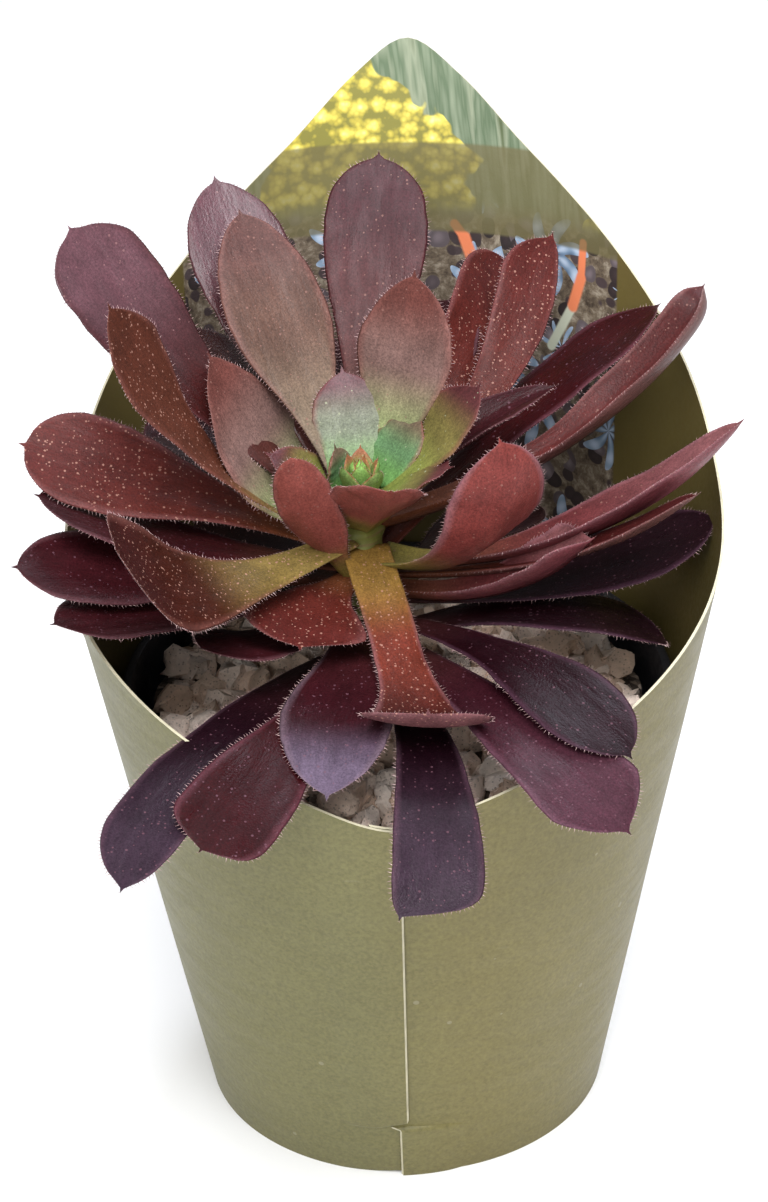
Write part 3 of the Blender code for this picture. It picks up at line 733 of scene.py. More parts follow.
@dataclass
class LeafLoft:
    """Sizes that every leaf shares, and the loft that turns a shape into a blade."""

    thickness: float = 1.35 * MM
    attach_radius: float = 4.75 * MM
    cup: float = 0.10
    mucro_half_width: float = 0.95 * MM
    wave: float = 0.35 * MM
    root: float = 1.1 * MM
    rings: int = 46
    stations: int = 11
    cad_rings: int = 10
    roundness: float = 2.1
    narrowing: float = 0.66
    channel: float = 0.30
    keel: float = 0.45
    nick: float = 0.03
    least: float = 0.02 * MM

    def half_width(self, leaf: LeafShape, along: float) -> float:
        """Return the blade's half width: narrow neck, broad end, round tip with a point.

        Args:
            leaf: The shape.
            along: The share of its length.

        Returns:
            The half width in metres.
        """
        half = leaf.width * MM / 2
        share = leaf.point / leaf.length
        point = self.mucro_half_width * min(1.0, (1 + share - along) / (2 * share))
        if along < leaf.widest:
            swell = 0.5 - 0.5 * math.cos(math.pi
                                         * (max(along, 0.0) / leaf.widest) ** leaf.swell)
            return half * (leaf.neck + (1 - leaf.neck) * swell)
        past = (along - leaf.widest) / (1 - leaf.widest)
        left = max(1 - past ** (self.roundness + 2 * leaf.square), 0.0)
        narrow = left ** (self.narrowing - 0.2 * leaf.square)
        return max(half * narrow, point, self.least)

    def direction(self, leaf: LeafShape, along: float) -> tuple[Vector, Vector]:
        """Return the midrib's direction at a share of its length, and its level side.

        Args:
            leaf: The shape.
            along: The share of its length.

        Returns:
            The direction and the side.
        """
        azimuth = math.radians(leaf.azimuth + leaf.sway * (along - 0.5))
        slope = math.radians(leaf.rise + leaf.curl * max(along, 0.0) ** leaf.growth)
        out = outward(azimuth)
        return (out * math.cos(slope) + Vector((0, 0, math.sin(slope))),
                Vector((-out.y, out.x, 0.0)))

    def midrib(self, leaf: LeafShape, shares: Sequence[float],
               start: Vector) -> list[Vector]:
        """Return the midrib's points at the given shares of its length.

        Args:
            leaf: The shape.
            shares: The shares; a negative one is inside the stem.
            start: Where the leaf leaves the stem.

        Returns:
            One point for each share.
        """
        length = leaf.length * MM
        step = 1 / self.cad_rings
        knots, places = [start], [0.0]
        while places[-1] < 1.2:
            before = self.direction(leaf, places[-1])[0]
            after = self.direction(leaf, places[-1] + step)[0]
            knots.append(knots[-1] + (before + after) / 2 * step * length)
            places.append(places[-1] + step)
        points = []
        for share in shares:
            if share < 0:
                points.append(start + self.direction(leaf, 0.0)[0] * share * length)
                continue
            index = min(int(share / step), len(knots) - 2)
            local = share / step - index
            ends = knots[index], knots[index + 1]
            slopes = [self.direction(leaf, places[index + i])[0] * step * length
                      for i in (0, 1)]
            square, cube = local ** 2, local ** 3
            points.append(ends[0] * (2 * cube - 3 * square + 1)
                          + slopes[0] * (cube - 2 * square + local)
                          + ends[1] * (3 * square - 2 * cube) + slopes[1] * (cube - square))
        return points

    def shares(self, leaf: LeafShape) -> list[float]:
        """Return where along the leaf its rings lie, closer together near the tip."""
        share = leaf.point / leaf.length
        start = -self.root / (leaf.length * MM)
        steps = [(index / (self.rings - 1)) for index in range(self.rings)]
        return [start] + [(1 + share) * (0.45 * s + 0.55 * (1 - (1 - s) ** 2)) for s in steps]

    def mesh(self, leaf: LeafShape, index: int, palette: Palette,
             start: Vector) -> bpy.types.Mesh:
        """Return the leaf's closed mesh with its colours and its marked margins.

        Args:
            leaf: The shape.
            index: The leaf's number, which varies its margins.
            palette: Its colours.
            start: Where its midrib begins.

        Returns:
            A mesh with tone, blade, outward, fringe and margin attributes.
        """
        shares = self.shares(leaf)
        centres = self.midrib(leaf, shares, start)
        across = [-math.cos(math.pi * i / (self.stations - 1)) for i in range(self.stations)]
        fold = math.radians(leaf.fold)
        count = 2 * self.stations - 2
        points, tones, blades, frames = [], [], [], []
        spot = Vector((index * 7.3, index * 2.1, 0.0))
        for along, centre in zip(shares, centres):
            forward, level = self.direction(leaf, along)
            upright = forward.cross(level)
            roll = math.radians(leaf.twist) * min(max(along, 0.0) * 1.4, 1.0)
            side = level * math.cos(roll) + upright * math.sin(roll)
            normal = upright * math.cos(roll) - level * math.sin(roll)
            half = self.half_width(leaf, along)
            thin = 1 - 0.8 * smooth(along, 0.75, 1.02)
            thick = self.thickness / 2 * thin * min(1.0, half / (1.0 * MM))
            ripple = self.wave * smooth(along, 0.15, 0.5) * min(1.0, half / (4 * MM))
            frames.append((forward, side, normal, half))
            if along > leaf.widest:
                centre = centre + side * leaf.skew * (leaf.width * MM / 2 - half)

            def middle(station: float) -> Vector:
                """Return the blade's mid-surface at a share of its half width."""
                bend = fold * abs(station)
                lift = self.cup * station ** 2 + math.sin(fold) * abs(station)
                edge = noise.noise(spot + Vector((along * 6, 3.0 * math.copysign(1, station),
                                                  0.0)))
                nick = 1 + self.nick * noise.noise(spot + Vector((along * 22, station, 5.0)))
                return (centre + side * half * station * math.cos(bend) * nick
                        + normal * (half * lift + 2.2 * ripple * edge * station ** 2))

            upper, lower = [], []
            for station in across:
                fullness = max(1 - abs(station) ** 2.6, 0.0) ** 0.55
                groove = math.exp(-(station / 0.16) ** 2) * smooth(along, 0.05, 0.3)
                ridge = math.exp(-(station / 0.22) ** 2) * (1 - 0.8 * along)
                body = middle(station)
                upper.append(body + normal * thick * (fullness - self.channel * groove))
                lower.append(body - normal * thick * (fullness + self.keel * ridge))
            ring = upper + lower[-2:0:-1]
            points.extend(ring)
            for position in range(count):
                under = position >= self.stations
                station = across[position] if not under else across[count - position]
                tones.append(palette.colour(along, station, under))
                blades.append((half * station, along * leaf.length * MM,
                               index * 0.037 + 0.5 * under))
        faces = tube_faces(len(shares), count)
        faces.append(tuple(range(count))[::-1])
        faces.append(tuple(range((len(shares) - 1) * count, len(shares) * count)))
        mesh = mesh_of(f"leaf_{leaf.name}", points, faces)
        face_out(mesh)
        outs, reach = self.margins(points, frames, count, shares)
        store(mesh, "tone", "FLOAT_COLOR", "POINT", tones)
        store(mesh, "blade", "FLOAT_VECTOR", "POINT", blades)
        store(mesh, "outward", "FLOAT_VECTOR", "POINT", outs)
        store(mesh, "fringe", "FLOAT", "POINT", reach)
        edge_rows = {0, self.stations - 1}
        store(mesh, "margin", "BOOLEAN", "EDGE", [
            e.vertices[0] % count in edge_rows
            and abs(e.vertices[0] - e.vertices[1]) == count
            and min(e.vertices) >= count for e in mesh.edges])
        return mesh

    def margins(self, points: Sequence[Vector], frames: Sequence[tuple], count: int,
                shares: Sequence[float]) -> tuple[list[Vector], list[float]]:
        """Return which way hairs point at each vertex, and how long they are there.

        Args:
            points: The loft's points, ring by ring.
            frames: Direction, side, normal and half width of each ring.
            count: Points in a ring.
            shares: Where along the leaf each ring lies.

        Returns:
            The outward vectors and the hairs' share of full length.
        """
        outs = [Vector((0, 0, 0))] * len(points)
        reach = [0.0] * len(points)
        last = len(shares) - 1
        for ring, (forward, side, normal, _) in enumerate(frames):
            for row, sign in ((0, -1.0), (self.stations - 1, 1.0)):
                before = points[max(ring - 1, 0) * count + row]
                after = points[min(ring + 1, last) * count + row]
                out = (after - before).cross(normal)
                if out.dot(side * sign + forward * 0.8) < 0:
                    out = -out
                outs[ring * count + row] = out.normalized()
                reach[ring * count + row] = (smooth(shares[ring], 0.02, 0.25)
                                             * (0.55 if shares[ring] > 1 else 1.0))
        return outs, reach


class Fringe:
    """Geometry Nodes tree that sets rows of short pale hairs along a leaf's margins."""

    INPUTS = {"Spacing": 0.72 * MM, "Hair Length": 0.85 * MM, "Hair Radius": 0.085 * MM}

    def __init__(self, hair: bpy.types.Material) -> None:
        """Build the tree with its named inputs.

        Args:
            hair: The hairs' material.
        """
        self.tree = bpy.data.node_groups.new("margin_fringe", "GeometryNodeTree")
        face = self.tree.interface
        face.new_socket("Geometry", in_out="INPUT", socket_type="NodeSocketGeometry")
        self.sockets = {}
        for name, value in self.INPUTS.items():
            socket = face.new_socket(name, in_out="INPUT", socket_type=FLOAT)
            socket.default_value = value
            self.sockets[name] = socket.identifier
        seed = face.new_socket("Seed", in_out="INPUT", socket_type="NodeSocketInt")
        self.sockets["Seed"] = seed.identifier
        face.new_socket("Geometry", in_out="OUTPUT", socket_type="NodeSocketGeometry")
        wiring = Wiring(self.tree)
        start, end = wiring.node("NodeGroupInput"), wiring.node("NodeGroupOutput")
        given = start.outputs
        margin = self.named(wiring, "BOOLEAN", "margin")
        line = wiring.node("GeometryNodeMeshToCurve",
                           {"Mesh": given["Geometry"], "Selection": margin}).outputs[0]
        spaced = wiring.node("GeometryNodeResampleCurve",
                             {"Curve": line, "Length": given["Spacing"]},
                             mode="LENGTH").outputs[0]
        hair_shape = wiring.node("GeometryNodeMeshCone",
                                 {"Vertices": 3, "Radius Bottom": given["Hair Radius"],
                                  "Depth": given["Hair Length"]}, fill_type="NGON").outputs[0]
        lean = wiring.node("FunctionNodeRandomValue", {0: (-0.55,) * 3, 1: (0.55,) * 3,
                                                       "Seed": given["Seed"]},
                           data_type="FLOAT_VECTOR").outputs[0]
        aim = wiring.vector("ADD", self.named(wiring, "FLOAT_VECTOR", "outward"), lean)
        turn = wiring.node("FunctionNodeAlignRotationToVector", {"Vector": aim},
                           axis="Z").outputs[0]
        size = wiring.node("FunctionNodeRandomValue", {2: 0.55, 3: 1.1,
                                                       "Seed": given["Seed"]},
                           data_type="FLOAT").outputs[1]
        size = wiring.math("MULTIPLY", size, self.named(wiring, "FLOAT", "fringe"))
        hairs = wiring.node("GeometryNodeInstanceOnPoints",
                            {"Points": spaced, "Instance": hair_shape, "Rotation": turn,
                             "Scale": size}).outputs[0]
        real = wiring.node("GeometryNodeRealizeInstances", {0: hairs}).outputs[0]
        dressed = wiring.node("GeometryNodeSetMaterial",
                              {"Geometry": real, "Material": hair}).outputs[0]
        both = wiring.node("GeometryNodeJoinGeometry")
        wiring.feed(both.inputs[0], dressed)
        wiring.feed(both.inputs[0], given["Geometry"])
        wiring.feed(end.inputs[0], both.outputs[0])

    @staticmethod
    def named(wiring: Wiring, kind: str, name: str) -> Socket:
        """Return a named attribute of the geometry."""
        made = wiring.node("GeometryNodeInputNamedAttribute", {"Name": name}, data_type=kind)
        return made.outputs[0]

    def grow(self, piece: bpy.types.Object, seed: int, size: float = 1.0) -> None:
        """Grow the hairs on a leaf and apply them.

        Args:
            piece: The leaf.
            seed: What varies its hairs.
            size: Their length over the full length.
        """
        modifier = piece.modifiers.new("fringe", "NODES")
        modifier.node_group = self.tree
        modifier[self.sockets["Seed"]] = seed
        modifier[self.sockets["Hair Length"]] = self.INPUTS["Hair Length"] * size
        freeze(piece)


@dataclass
class Plant:
    """The rosette: leaves, bud and stem."""

    stem_foot: Vector = Vector((-6.5, 2.0, 95.0)) * MM
    stem_head: Vector = Vector((-6.0, -2.0, 137.0)) * MM
    stem_root: float = 60 * MM
    stem_top: float = 136.4 * MM
    stem_shoulder: float = 126 * MM
    stem_radius: float = 4.0 * MM
    stem_top_radius: float = 2.6 * MM
    stem_sides: int = 40
    stem_step: float = 0.7 * MM
    bud_leaflets: int = 11
    bud_turn: float = 137.5
    swelling_height: float = 0.95 * MM
    swelling_tall: float = 1.3 * MM
    swelling_wide: float = 2.2 * MM
    bark_relief: float = 0.16 * MM

    def centre(self, height: float) -> Vector:
        """Return the centre of the stem at a height."""
        share = (height - self.stem_foot.z) / (self.stem_head.z - self.stem_foot.z)
        centre = self.stem_foot.lerp(self.stem_head, share)
        return Vector((centre.x, centre.y, height))

    def build(self, effects: Effects) -> None:
        """Build and dress the whole plant.

        Args:
            effects: The shared groups.
        """
        finishes = self.finishes(effects)
        fringe = Fringe(self.hair_material())
        loft = LeafLoft()
        for index, leaf in enumerate(LEAVES):
            start = (self.centre(leaf.height * MM)
                     + outward(math.radians(leaf.azimuth)) * loft.attach_radius)
            mesh = loft.mesh(leaf, index, leaf.tone.value, start)
            name = f"leaf_{leaf.name}"
            piece = add_piece(f"{name}_blade", mesh, [finishes[leaf.tone]], None)
            fringe.grow(piece, index, min(1.0, 0.55 + leaf.length / 100))
            settle(piece, "leaf", name)
        self.build_bud(finishes[Tone.MINT], fringe)
        self.build_stem(effects)

    @staticmethod
    def finishes(effects: Effects) -> dict[Tone, bpy.types.Material]:
        """Return the leaf material of each tone.

        Args:
            effects: The shared groups.

        Returns:
            The materials by tone.
        """
        waxy = LeafFinish(0.45, 0.25, 0.08, (0.34, 0.36, 0.24))
        satin = LeafFinish(0.42, 0.15, 0.25, (0.24, 0.12, 0.10))
        hazy = LeafFinish(0.36, 0.35, 0.12, (0.24, 0.12, 0.12))
        speckled = LeafFinish(0.45, 0.15, 0.7, (0.42, 0.22, 0.17))
        glossy = LeafFinish(0.34, 0.10, 0.35, (0.13, 0.06, 0.08))
        kinds = {"young": (waxy, (Tone.MINT, Tone.HEART, Tone.TIPPED)),
                 "hazy": (hazy, (Tone.HAZE,)),
                 "speckled": (speckled, (Tone.RUST, Tone.GOLDEN, Tone.FLAME, Tone.BRONZE)),
                 "old": (glossy, (Tone.NIGHT, Tone.SLATE, Tone.DUSK, Tone.CLARET, Tone.PLUM,
                                  Tone.WINE))}
        skins = dict.fromkeys(Tone, satin.build("leaf_skin", effects))
        for name, (finish, tones) in kinds.items():
            skins.update(dict.fromkeys(tones, finish.build(f"{name}_leaf_skin", effects)))
        return skins

    @staticmethod
    def hair_material() -> bpy.types.Material:
        """Return the pale glassy finish of the margin hairs."""
        material, wiring, shader = new_material("margin_hair")
        shade = wiring.ramp(wiring.noise(wiring.place(), 300.0),
                            ((0.3, (0.26, 0.14, 0.14)), (0.7, (0.44, 0.30, 0.29))))
        set_inputs(shader, wiring, Base_Color=shade, Roughness=0.45)
        return material

    def build_bud(self, skin: bpy.types.Material, fringe: Fringe) -> None:
        """Build the bud as a tight spiral of unopened leaflets.

        Args:
            skin: The leaflets' material.
            fringe: The tree that grows their hairs.
        """
        loft = LeafLoft(thickness=0.9 * MM, attach_radius=0.9 * MM, mucro_half_width=0.4 * MM,
                        wave=0.05 * MM, rings=20, stations=7)
        bm = bmesh.new()
        last = self.bud_leaflets - 1
        for index in range(self.bud_leaflets):
            share = index / last
            leaf = LeafShape(f"leaflet_{index}", Tone.MINT, mix(135.2, 138.6, share),
                             index * self.bud_turn + 40, mix(60, 88, share), mix(12, 25, share),
                             mix(8.2, 4.0, share), mix(6.4, 2.6, share), 0, 0, 0.45, 0.6, 14,
                             square=-0.4, point=0.6)
            start = (self.centre(leaf.height * MM)
                     + outward(math.radians(leaf.azimuth)) * mix(2.4, 0.5, share) * MM)
            tint = mix_colour((0.20, 0.33, 0.10), (0.20, 0.42, 0.09), share)
            palette = Palette(tint, tint, mix_colour(tint, (0.30, 0.05, 0.04), 0.8),
                              tint, (0.30, 0.06, 0.04))
            mesh = loft.mesh(leaf, 100 + index, palette, start)
            bm.from_mesh(mesh)
            bpy.data.meshes.remove(mesh)
        piece = add_piece("crown_bud_leaflets", mesh_from("crown_bud_leaflets", bm), [skin],
                          None)
        fringe.grow(piece, 500, 0.35)
        settle(piece, "crown_bud", "crown_bud")

    def build_stem(self, effects: Effects) -> None:
        """Build the stem with a swelling under each leaf and scars of fallen ones.

        Args:
            effects: The shared groups.
        """
        points, rows = [], int((self.stem_top - self.stem_root) / self.stem_step) + 1
        for row in range(rows):
            height = min(self.stem_root + row * self.stem_step, self.stem_top)
            centre = self.centre(height)
            shoulder = smooth(height, self.stem_shoulder, self.stem_top)
            plain = mix(self.stem_radius, self.stem_top_radius, shoulder)
            for side in range(self.stem_sides):
                azimuth = 2 * math.pi * side / self.stem_sides
                radius = plain + self.swelling(height, azimuth)
                radius += self.bark_relief * noise.noise(outward(azimuth) * 4
                                                  + Vector((0, 0, height / (2.4 * MM))))
                points.append(centre + outward(azimuth) * radius)
        faces = tube_faces(rows, self.stem_sides)
        faces.append(tuple(range(self.stem_sides)))
        faces.append(tuple(range((rows - 1) * self.stem_sides, rows * self.stem_sides)))
        mesh = mesh_of("stem_stalk", points, faces)
        face_out(mesh)
        material, wiring, shader = new_material("stem_bark")
        place = wiring.place()
        height = wiring.node("ShaderNodeSeparateXYZ", {0: place}).outputs[2]
        green = wiring.ramp(wiring.span(height, 0.092, 0.130), (
            (0.0, (0.16, 0.10, 0.045)), (0.45, (0.26, 0.26, 0.08)), (1.0, (0.13, 0.14, 0.025))))
        mottled = wiring.group(effects.mottle, Vector=place, Colour=green, Scale=330.0,
                               Depth=0.35)
        scars = wiring.noise(wiring.stretched(place, (120.0, 120.0, 900.0)), 1.0, 3.0, 0.65)
        colour = wiring.blend(wiring.span(scars, 0.52, 0.66, 0.0, 0.55),
                              mottled.outputs["Colour"], (0.16, 0.085, 0.045))
        set_inputs(shader, wiring, Base_Color=colour, Roughness=wiring.span(
            scars, 0.3, 0.7, 0.45, 0.7), Normal=wiring.bump(scars, 0.0003, 0.6))
        settle(add_piece("stem_stalk", mesh, [material]), "stem", "stem")

    def swelling(self, height: float, azimuth: float) -> float:
        """Return how far the stem bulges at a place, towards the necks of its leaves.

        Args:
            height: The height in metres.
            azimuth: The direction in radians.

        Returns:
            The bulge in metres.
        """
        bulge = 0.0
        for leaf in LEAVES:
            rise = (height - leaf.height * MM) / self.swelling_tall
            if abs(rise) > 3:
                continue
            turn = azimuth - math.radians(leaf.azimuth)
            turn = (turn + math.pi) % (2 * math.pi) - math.pi
            reach = turn * self.stem_radius / self.swelling_wide
            bulge = max(bulge, math.exp(-rise * rise - reach * reach))
        return self.swelling_height * bulge


# ---------------------------------------------------------------- pot and filling

@dataclass
class NurseryPot:
    """The thin black pot: a turned shell with a rolled rim, steps and drain holes."""

    height: float = 94 * MM
    base_radius: float = 36.5 * MM
    rim_radius: float = 52.5 * MM
    wall: float = 1.0 * MM
    floor: float = 1.4 * MM
    band: float = 11 * MM
    step: float = 1.2 * MM
    bead: float = 1.3 * MM
    drain_radius: float = 3.2 * MM
    drain_ring: float = 24 * MM
    drains: int = 6
    sides: int = 144

    def outer(self, height: float) -> float:
        """Return the radius of the plain outer wall at a height."""
        return mix(self.base_radius, self.rim_radius - self.step, height / self.height)

    def inner(self, height: float) -> float:
        """Return the radius of the inner wall at a height."""
        return self.outer(height) - self.wall

    def profile(self) -> list[tuple[float, float]]:
        """Return the wall's closed outline as radius and height, inside first."""
        band, top = self.height - self.band, self.height
        bead_centre = (self.rim_radius + 0.35 * self.bead, top - 0.62 * self.bead)
        bead = [(bead_centre[0] + 0.65 * self.bead * math.cos(a),
                 bead_centre[1] + 0.62 * self.bead * math.sin(a))
                for a in (math.radians(d) for d in range(80, -91, -24))]
        return [
            (0.0, self.floor),
            (self.inner(self.floor) - 1.5 * MM, self.floor),
            (self.inner(self.floor), self.floor + 1.5 * MM),
            (self.inner(band * 0.5), band * 0.5),
            (self.inner(band), band),
            (self.inner(band + self.step) + self.step, band + self.step),
            (self.inner(top) + self.step, top - 0.5 * MM),
            (self.inner(top) + 1.3 * self.step, top),
            *bead,
            (self.rim_radius, top - self.bead * 1.6),
            (self.outer(band) + self.step, band + 0.3 * MM),
            (self.outer(band) + self.step * 0.8, band),
            (self.outer(band) + 0.1 * MM, band - self.step * 0.6),
            (self.outer(band), band - self.step),
            (self.outer(band * 0.5), band * 0.5),
            (self.outer(self.wall * 2), self.wall * 2),
            (self.base_radius - 0.5 * self.wall, 0.4 * MM),
            (self.base_radius - 1.5 * self.wall, 0.0),
            (self.base_radius - 4.0 * MM, 0.0),
            (self.base_radius - 5.2 * MM, 0.4 * MM),
            (0.0, 0.4 * MM),
        ]

    def build(self, effects: Effects) -> None:
        """Turn the outline, cut the drains and dress the pot.

        Args:
            effects: The shared groups.
        """
        mesh = turned_mesh("pot_shell", self.profile(), self.sides)
        piece = add_piece("pot_shell", mesh, [self.plastic(effects)], 35.0)
        bm = bmesh.new()
        for index in range(self.drains):
            spot = outward(2 * math.pi * index / self.drains + math.pi / 2) * self.drain_ring
            bmesh.ops.create_cone(bm, cap_ends=True, segments=28, radius1=self.drain_radius,
                                  radius2=self.drain_radius, depth=6 * MM,
                                  matrix=Matrix.Translation((spot.x, spot.y, 1 * MM)))
        cutter = bpy.data.objects.new("drain_cutter", mesh_from("drain_cutter", bm))
        link(cutter)
        boolean = piece.modifiers.new("drains", "BOOLEAN")
        boolean.operation, boolean.object, boolean.solver = "DIFFERENCE", cutter, "EXACT"
        freeze(piece)
        bpy.data.objects.remove(cutter, do_unlink=True)
        settle(piece, "pot_plastic", "nursery_pot")

    @staticmethod
    def plastic(effects: Effects) -> bpy.types.Material:
        """Return thin black plastic with dust and faint forming rings.

        Args:
            effects: The shared groups.

        Returns:
            The finished material.
        """
        material, wiring, shader = new_material("pot_black")
        place = wiring.place()
        base = wiring.group(effects.mottle, Vector=place, Colour=(0.010, 0.010, 0.013),
                            Scale=60.0, Depth=0.4)
        dust = wiring.noise(place, 210.0, 4.0, 0.7)
        colour = wiring.blend(wiring.span(dust, 0.55, 0.75, 0.0, 0.22), base.outputs["Colour"],
                              (0.20, 0.17, 0.14))
        rings = wiring.noise(wiring.stretched(place, (3.0, 3.0, 700.0)), 1.0, 2.0)
        set_inputs(shader, wiring, Base_Color=colour,
                   Roughness=wiring.span(dust, 0.3, 0.7, 0.34, 0.62),
                   Normal=wiring.bump(rings, 0.0002, 0.5))
        return material


def turned_mesh(name: str, profile: Sequence[tuple[float, float]],
                sides: int) -> bpy.types.Mesh:
    """Turn an outline that starts and ends on the axis about Z into a closed mesh.

    Args:
        name: The mesh's name.
        profile: Radius and height of each point, the first and last on the axis.
        sides: Steps round the circle.

    Returns:
        The mesh, facing outwards.
    """
    points = [Vector((0, 0, profile[0][1])), Vector((0, 0, profile[-1][1]))]
    rings = profile[1:-1]
    for radius, height in rings:
        for side in range(sides):
            points.append(outward(2 * math.pi * side / sides) * radius
                          + Vector((0, 0, height)))
    faces = []
    last = 2 + (len(rings) - 1) * sides
    for side in range(sides):
        after = (side + 1) % sides
        faces.append((0, 2 + side, 2 + after))
        faces.append((1, last + after, last + side))
        for ring in range(len(rings) - 1):
            base = 2 + ring * sides
            faces.append((base + side, base + sides + side, base + sides + after,
                          base + after))
    mesh = mesh_of(name, points, faces)
    face_out(mesh)
    return mesh


@dataclass
class Filling:
    """What fills the pot: potting mix, a dressing of pumice gravel and larger stones."""

    edge_top: float = 90.5 * MM
    crown: float = 3.5 * MM
    bump: float = 1.6 * MM
    bump_size: float = 8 * MM
    bed_drop: float = 2.6 * MM
    disc_radius: float = 46.5 * MM
    pot_radius: float = 52.5 * MM
    stones: tuple[str, ...] = ("pumice_front", "pumice_front_left", "pumice_left",
                               "pumice_right", "pumice_back")

    def top(self, x: float, y: float) -> float:
        """Return the height of the gravel's top at a point."""
        dome = self.crown * (1 - (math.hypot(x, y) / self.pot_radius) ** 2)
        return self.edge_top + dome + self.bump * noise.noise(
            Vector((x, y, 0.0)) / self.bump_size)

    def build(self, effects: Effects) -> None:
        """Build and dress everything in the pot.

        Args:
            effects: The shared groups.
        """
        stone = self.pumice(effects)
        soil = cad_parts["soil"]
        for slot in soil.material_slots:
            slot.material = self.potting_mix(effects)
        low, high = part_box("gravel_layer")
        radius = (high.x - low.x) / 2
        rings, sides = 24, 96
        profile = [(0.0, 0.0)] + [(radius * (i + 1) / rings, 0.0) for i in range(rings)]
        profile += [(radius, low.z), (0.0, low.z)]
        # The bed is kept dark as painted shade: it shows only in the gaps between the stones.
        bed = turned_mesh("gravel_bed", profile, sides)
        for vertex in bed.vertices:
            if vertex.co.z < low.z / 2:
                vertex.co.z = self.top(vertex.co.x, vertex.co.y) - self.bed_drop
        bed.update()
        face_out(bed)
        settle(add_piece("gravel_bed", bed, [self.grit(effects)], 60.0), "pumice",
               "gravel_layer")
        self.scatter(stone)
        for index, name in enumerate(self.stones):
            self.build_stone(name, index, stone)

    def scatter(self, stone: bpy.types.Material) -> None:
        """Scatter the gravel's stones over its top with Geometry Nodes.

        Args:
            stone: The stones' material.
        """
        tree = GravelTree(stone)
        every = bmesh.new()
        for lift, spacing, width, seed in ((-2.9, 5.0, 7.0, 3), (-1.2, 6.6, 6.8, 11),
                                           (-0.2, 12.0, 7.8, 29)):
            bm = bmesh.new()
            bmesh.ops.create_grid(bm, x_segments=40, y_segments=40, size=self.disc_radius)
            bmesh.ops.delete(bm, context="VERTS", geom=[
                v for v in bm.verts if math.hypot(v.co.x, v.co.y) > self.disc_radius])
            for vertex in bm.verts:
                vertex.co.z = self.top(vertex.co.x, vertex.co.y)
            layer = bpy.data.objects.new("gravel_ground", mesh_from("gravel_ground", bm))
            link(layer)
            modifier = layer.modifiers.new("stones", "NODES")
            modifier.node_group = tree.tree
            for name, value in (("Lift", lift * MM), ("Spacing", spacing * MM),
                                ("Stone Size", width * MM), ("Seed", seed)):
                modifier[tree.sockets[name]] = value
            freeze(layer)
            every.from_mesh(layer.data)
            bpy.data.objects.remove(layer, do_unlink=True)
        settle(add_piece("gravel_stones", mesh_from("gravel_stones", every), [stone], 50.0),
               "pumice", "gravel_layer")

    def build_stone(self, name: str, index: int, stone: bpy.types.Material) -> None:
        """Build one larger loose stone in its node's place, rough and pitted.

        Args:
            name: Its node.
            index: Its number, which varies its shape.
            stone: Its material.
        """
        low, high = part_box(name)
        centre, half = (low + high) / 2, (high - low) / 2
        bm = bmesh.new()
        bmesh.ops.create_icosphere(bm, subdivisions=5, radius=1.0)
        spot = Vector((index * 3.7, 1.3, index * 5.1))
        for vertex in bm.verts:
            ray = vertex.co.normalized()
            lumps = noise.noise(ray * 1.3 + spot) * 0.22 + noise.noise(ray * 3.1 + spot) * 0.10
            pits = max(0.0, noise.noise(ray * 9 + spot) - 0.12) * 0.16
            swell = 0.97 + lumps - pits + 0.018 * noise.noise(ray * 24 + spot)
            vertex.co = centre + Vector(ray[i] * half[i] * min(swell, 1.12) for i in range(3))
        mesh = mesh_from(f"{name}_stone", bm)
        store(mesh, "stone_shade", "FLOAT", "POINT",
              [(index * 0.37) % 1.0] * len(mesh.vertices))
        settle(add_piece(f"{name}_stone", mesh, [stone], None), "pumice", name)

    @staticmethod
    def pumice(effects: Effects) -> bpy.types.Material:
        """Return dusty porous stone, each grain its own shade.

        Args:
            effects: The shared groups.

        Returns:
            The finished material.
        """
        material, wiring, shader = new_material("pumice_stone")
        place = wiring.place()
        shade = wiring.ramp(wiring.read("stone_shade"), (
            (0.0, (0.58, 0.41, 0.30)), (0.35, (0.78, 0.60, 0.48)), (0.6, (0.86, 0.71, 0.61)),
            (0.8, (0.70, 0.58, 0.50)), (1.0, (0.90, 0.80, 0.72))))
        mottled = wiring.group(effects.mottle, Vector=place, Colour=shade, Scale=240.0,
                               Depth=0.3)
        pores = wiring.group(effects.flecks, Vector=place, Scale=1500.0, Radius=0.30,
                             Share=0.5).outputs["Mask"]
        specks = wiring.group(effects.flecks, Vector=place, Scale=900.0, Radius=0.22,
                              Share=0.25).outputs["Mask"]
        colour = wiring.over(pores, 0.45,
                              mottled.outputs["Colour"], (0.16, 0.11, 0.08))
        colour = wiring.over(specks, 0.6, colour,
                              (0.10, 0.075, 0.06))
        lumps = wiring.noise(place, 700.0, 5.0, 0.7)
        rough = wiring.bump(lumps, 0.0006, 0.8)
        set_inputs(shader, wiring, Base_Color=colour,
                   Roughness=wiring.span(lumps, 0.3, 0.7, 0.82, 0.97),
                   Normal=wiring.bump(wiring.math("SUBTRACT", 1.0, pores), 0.0002, 0.6,
                                      rough))
        return material

    @staticmethod
    def grit(effects: Effects) -> bpy.types.Material:
        """Return crumbly grit between the stones, darkened as painted shade in the gaps.

        Args:
            effects: The shared groups.

        Returns:
            The finished material.
        """
        material, wiring, shader = new_material("gravel_grit")
        place = wiring.place()
        crumbs = wiring.cells(place, 700.0)
        tint = wiring.node("ShaderNodeSeparateColor", {0: crumbs.outputs["Color"]}).outputs[0]
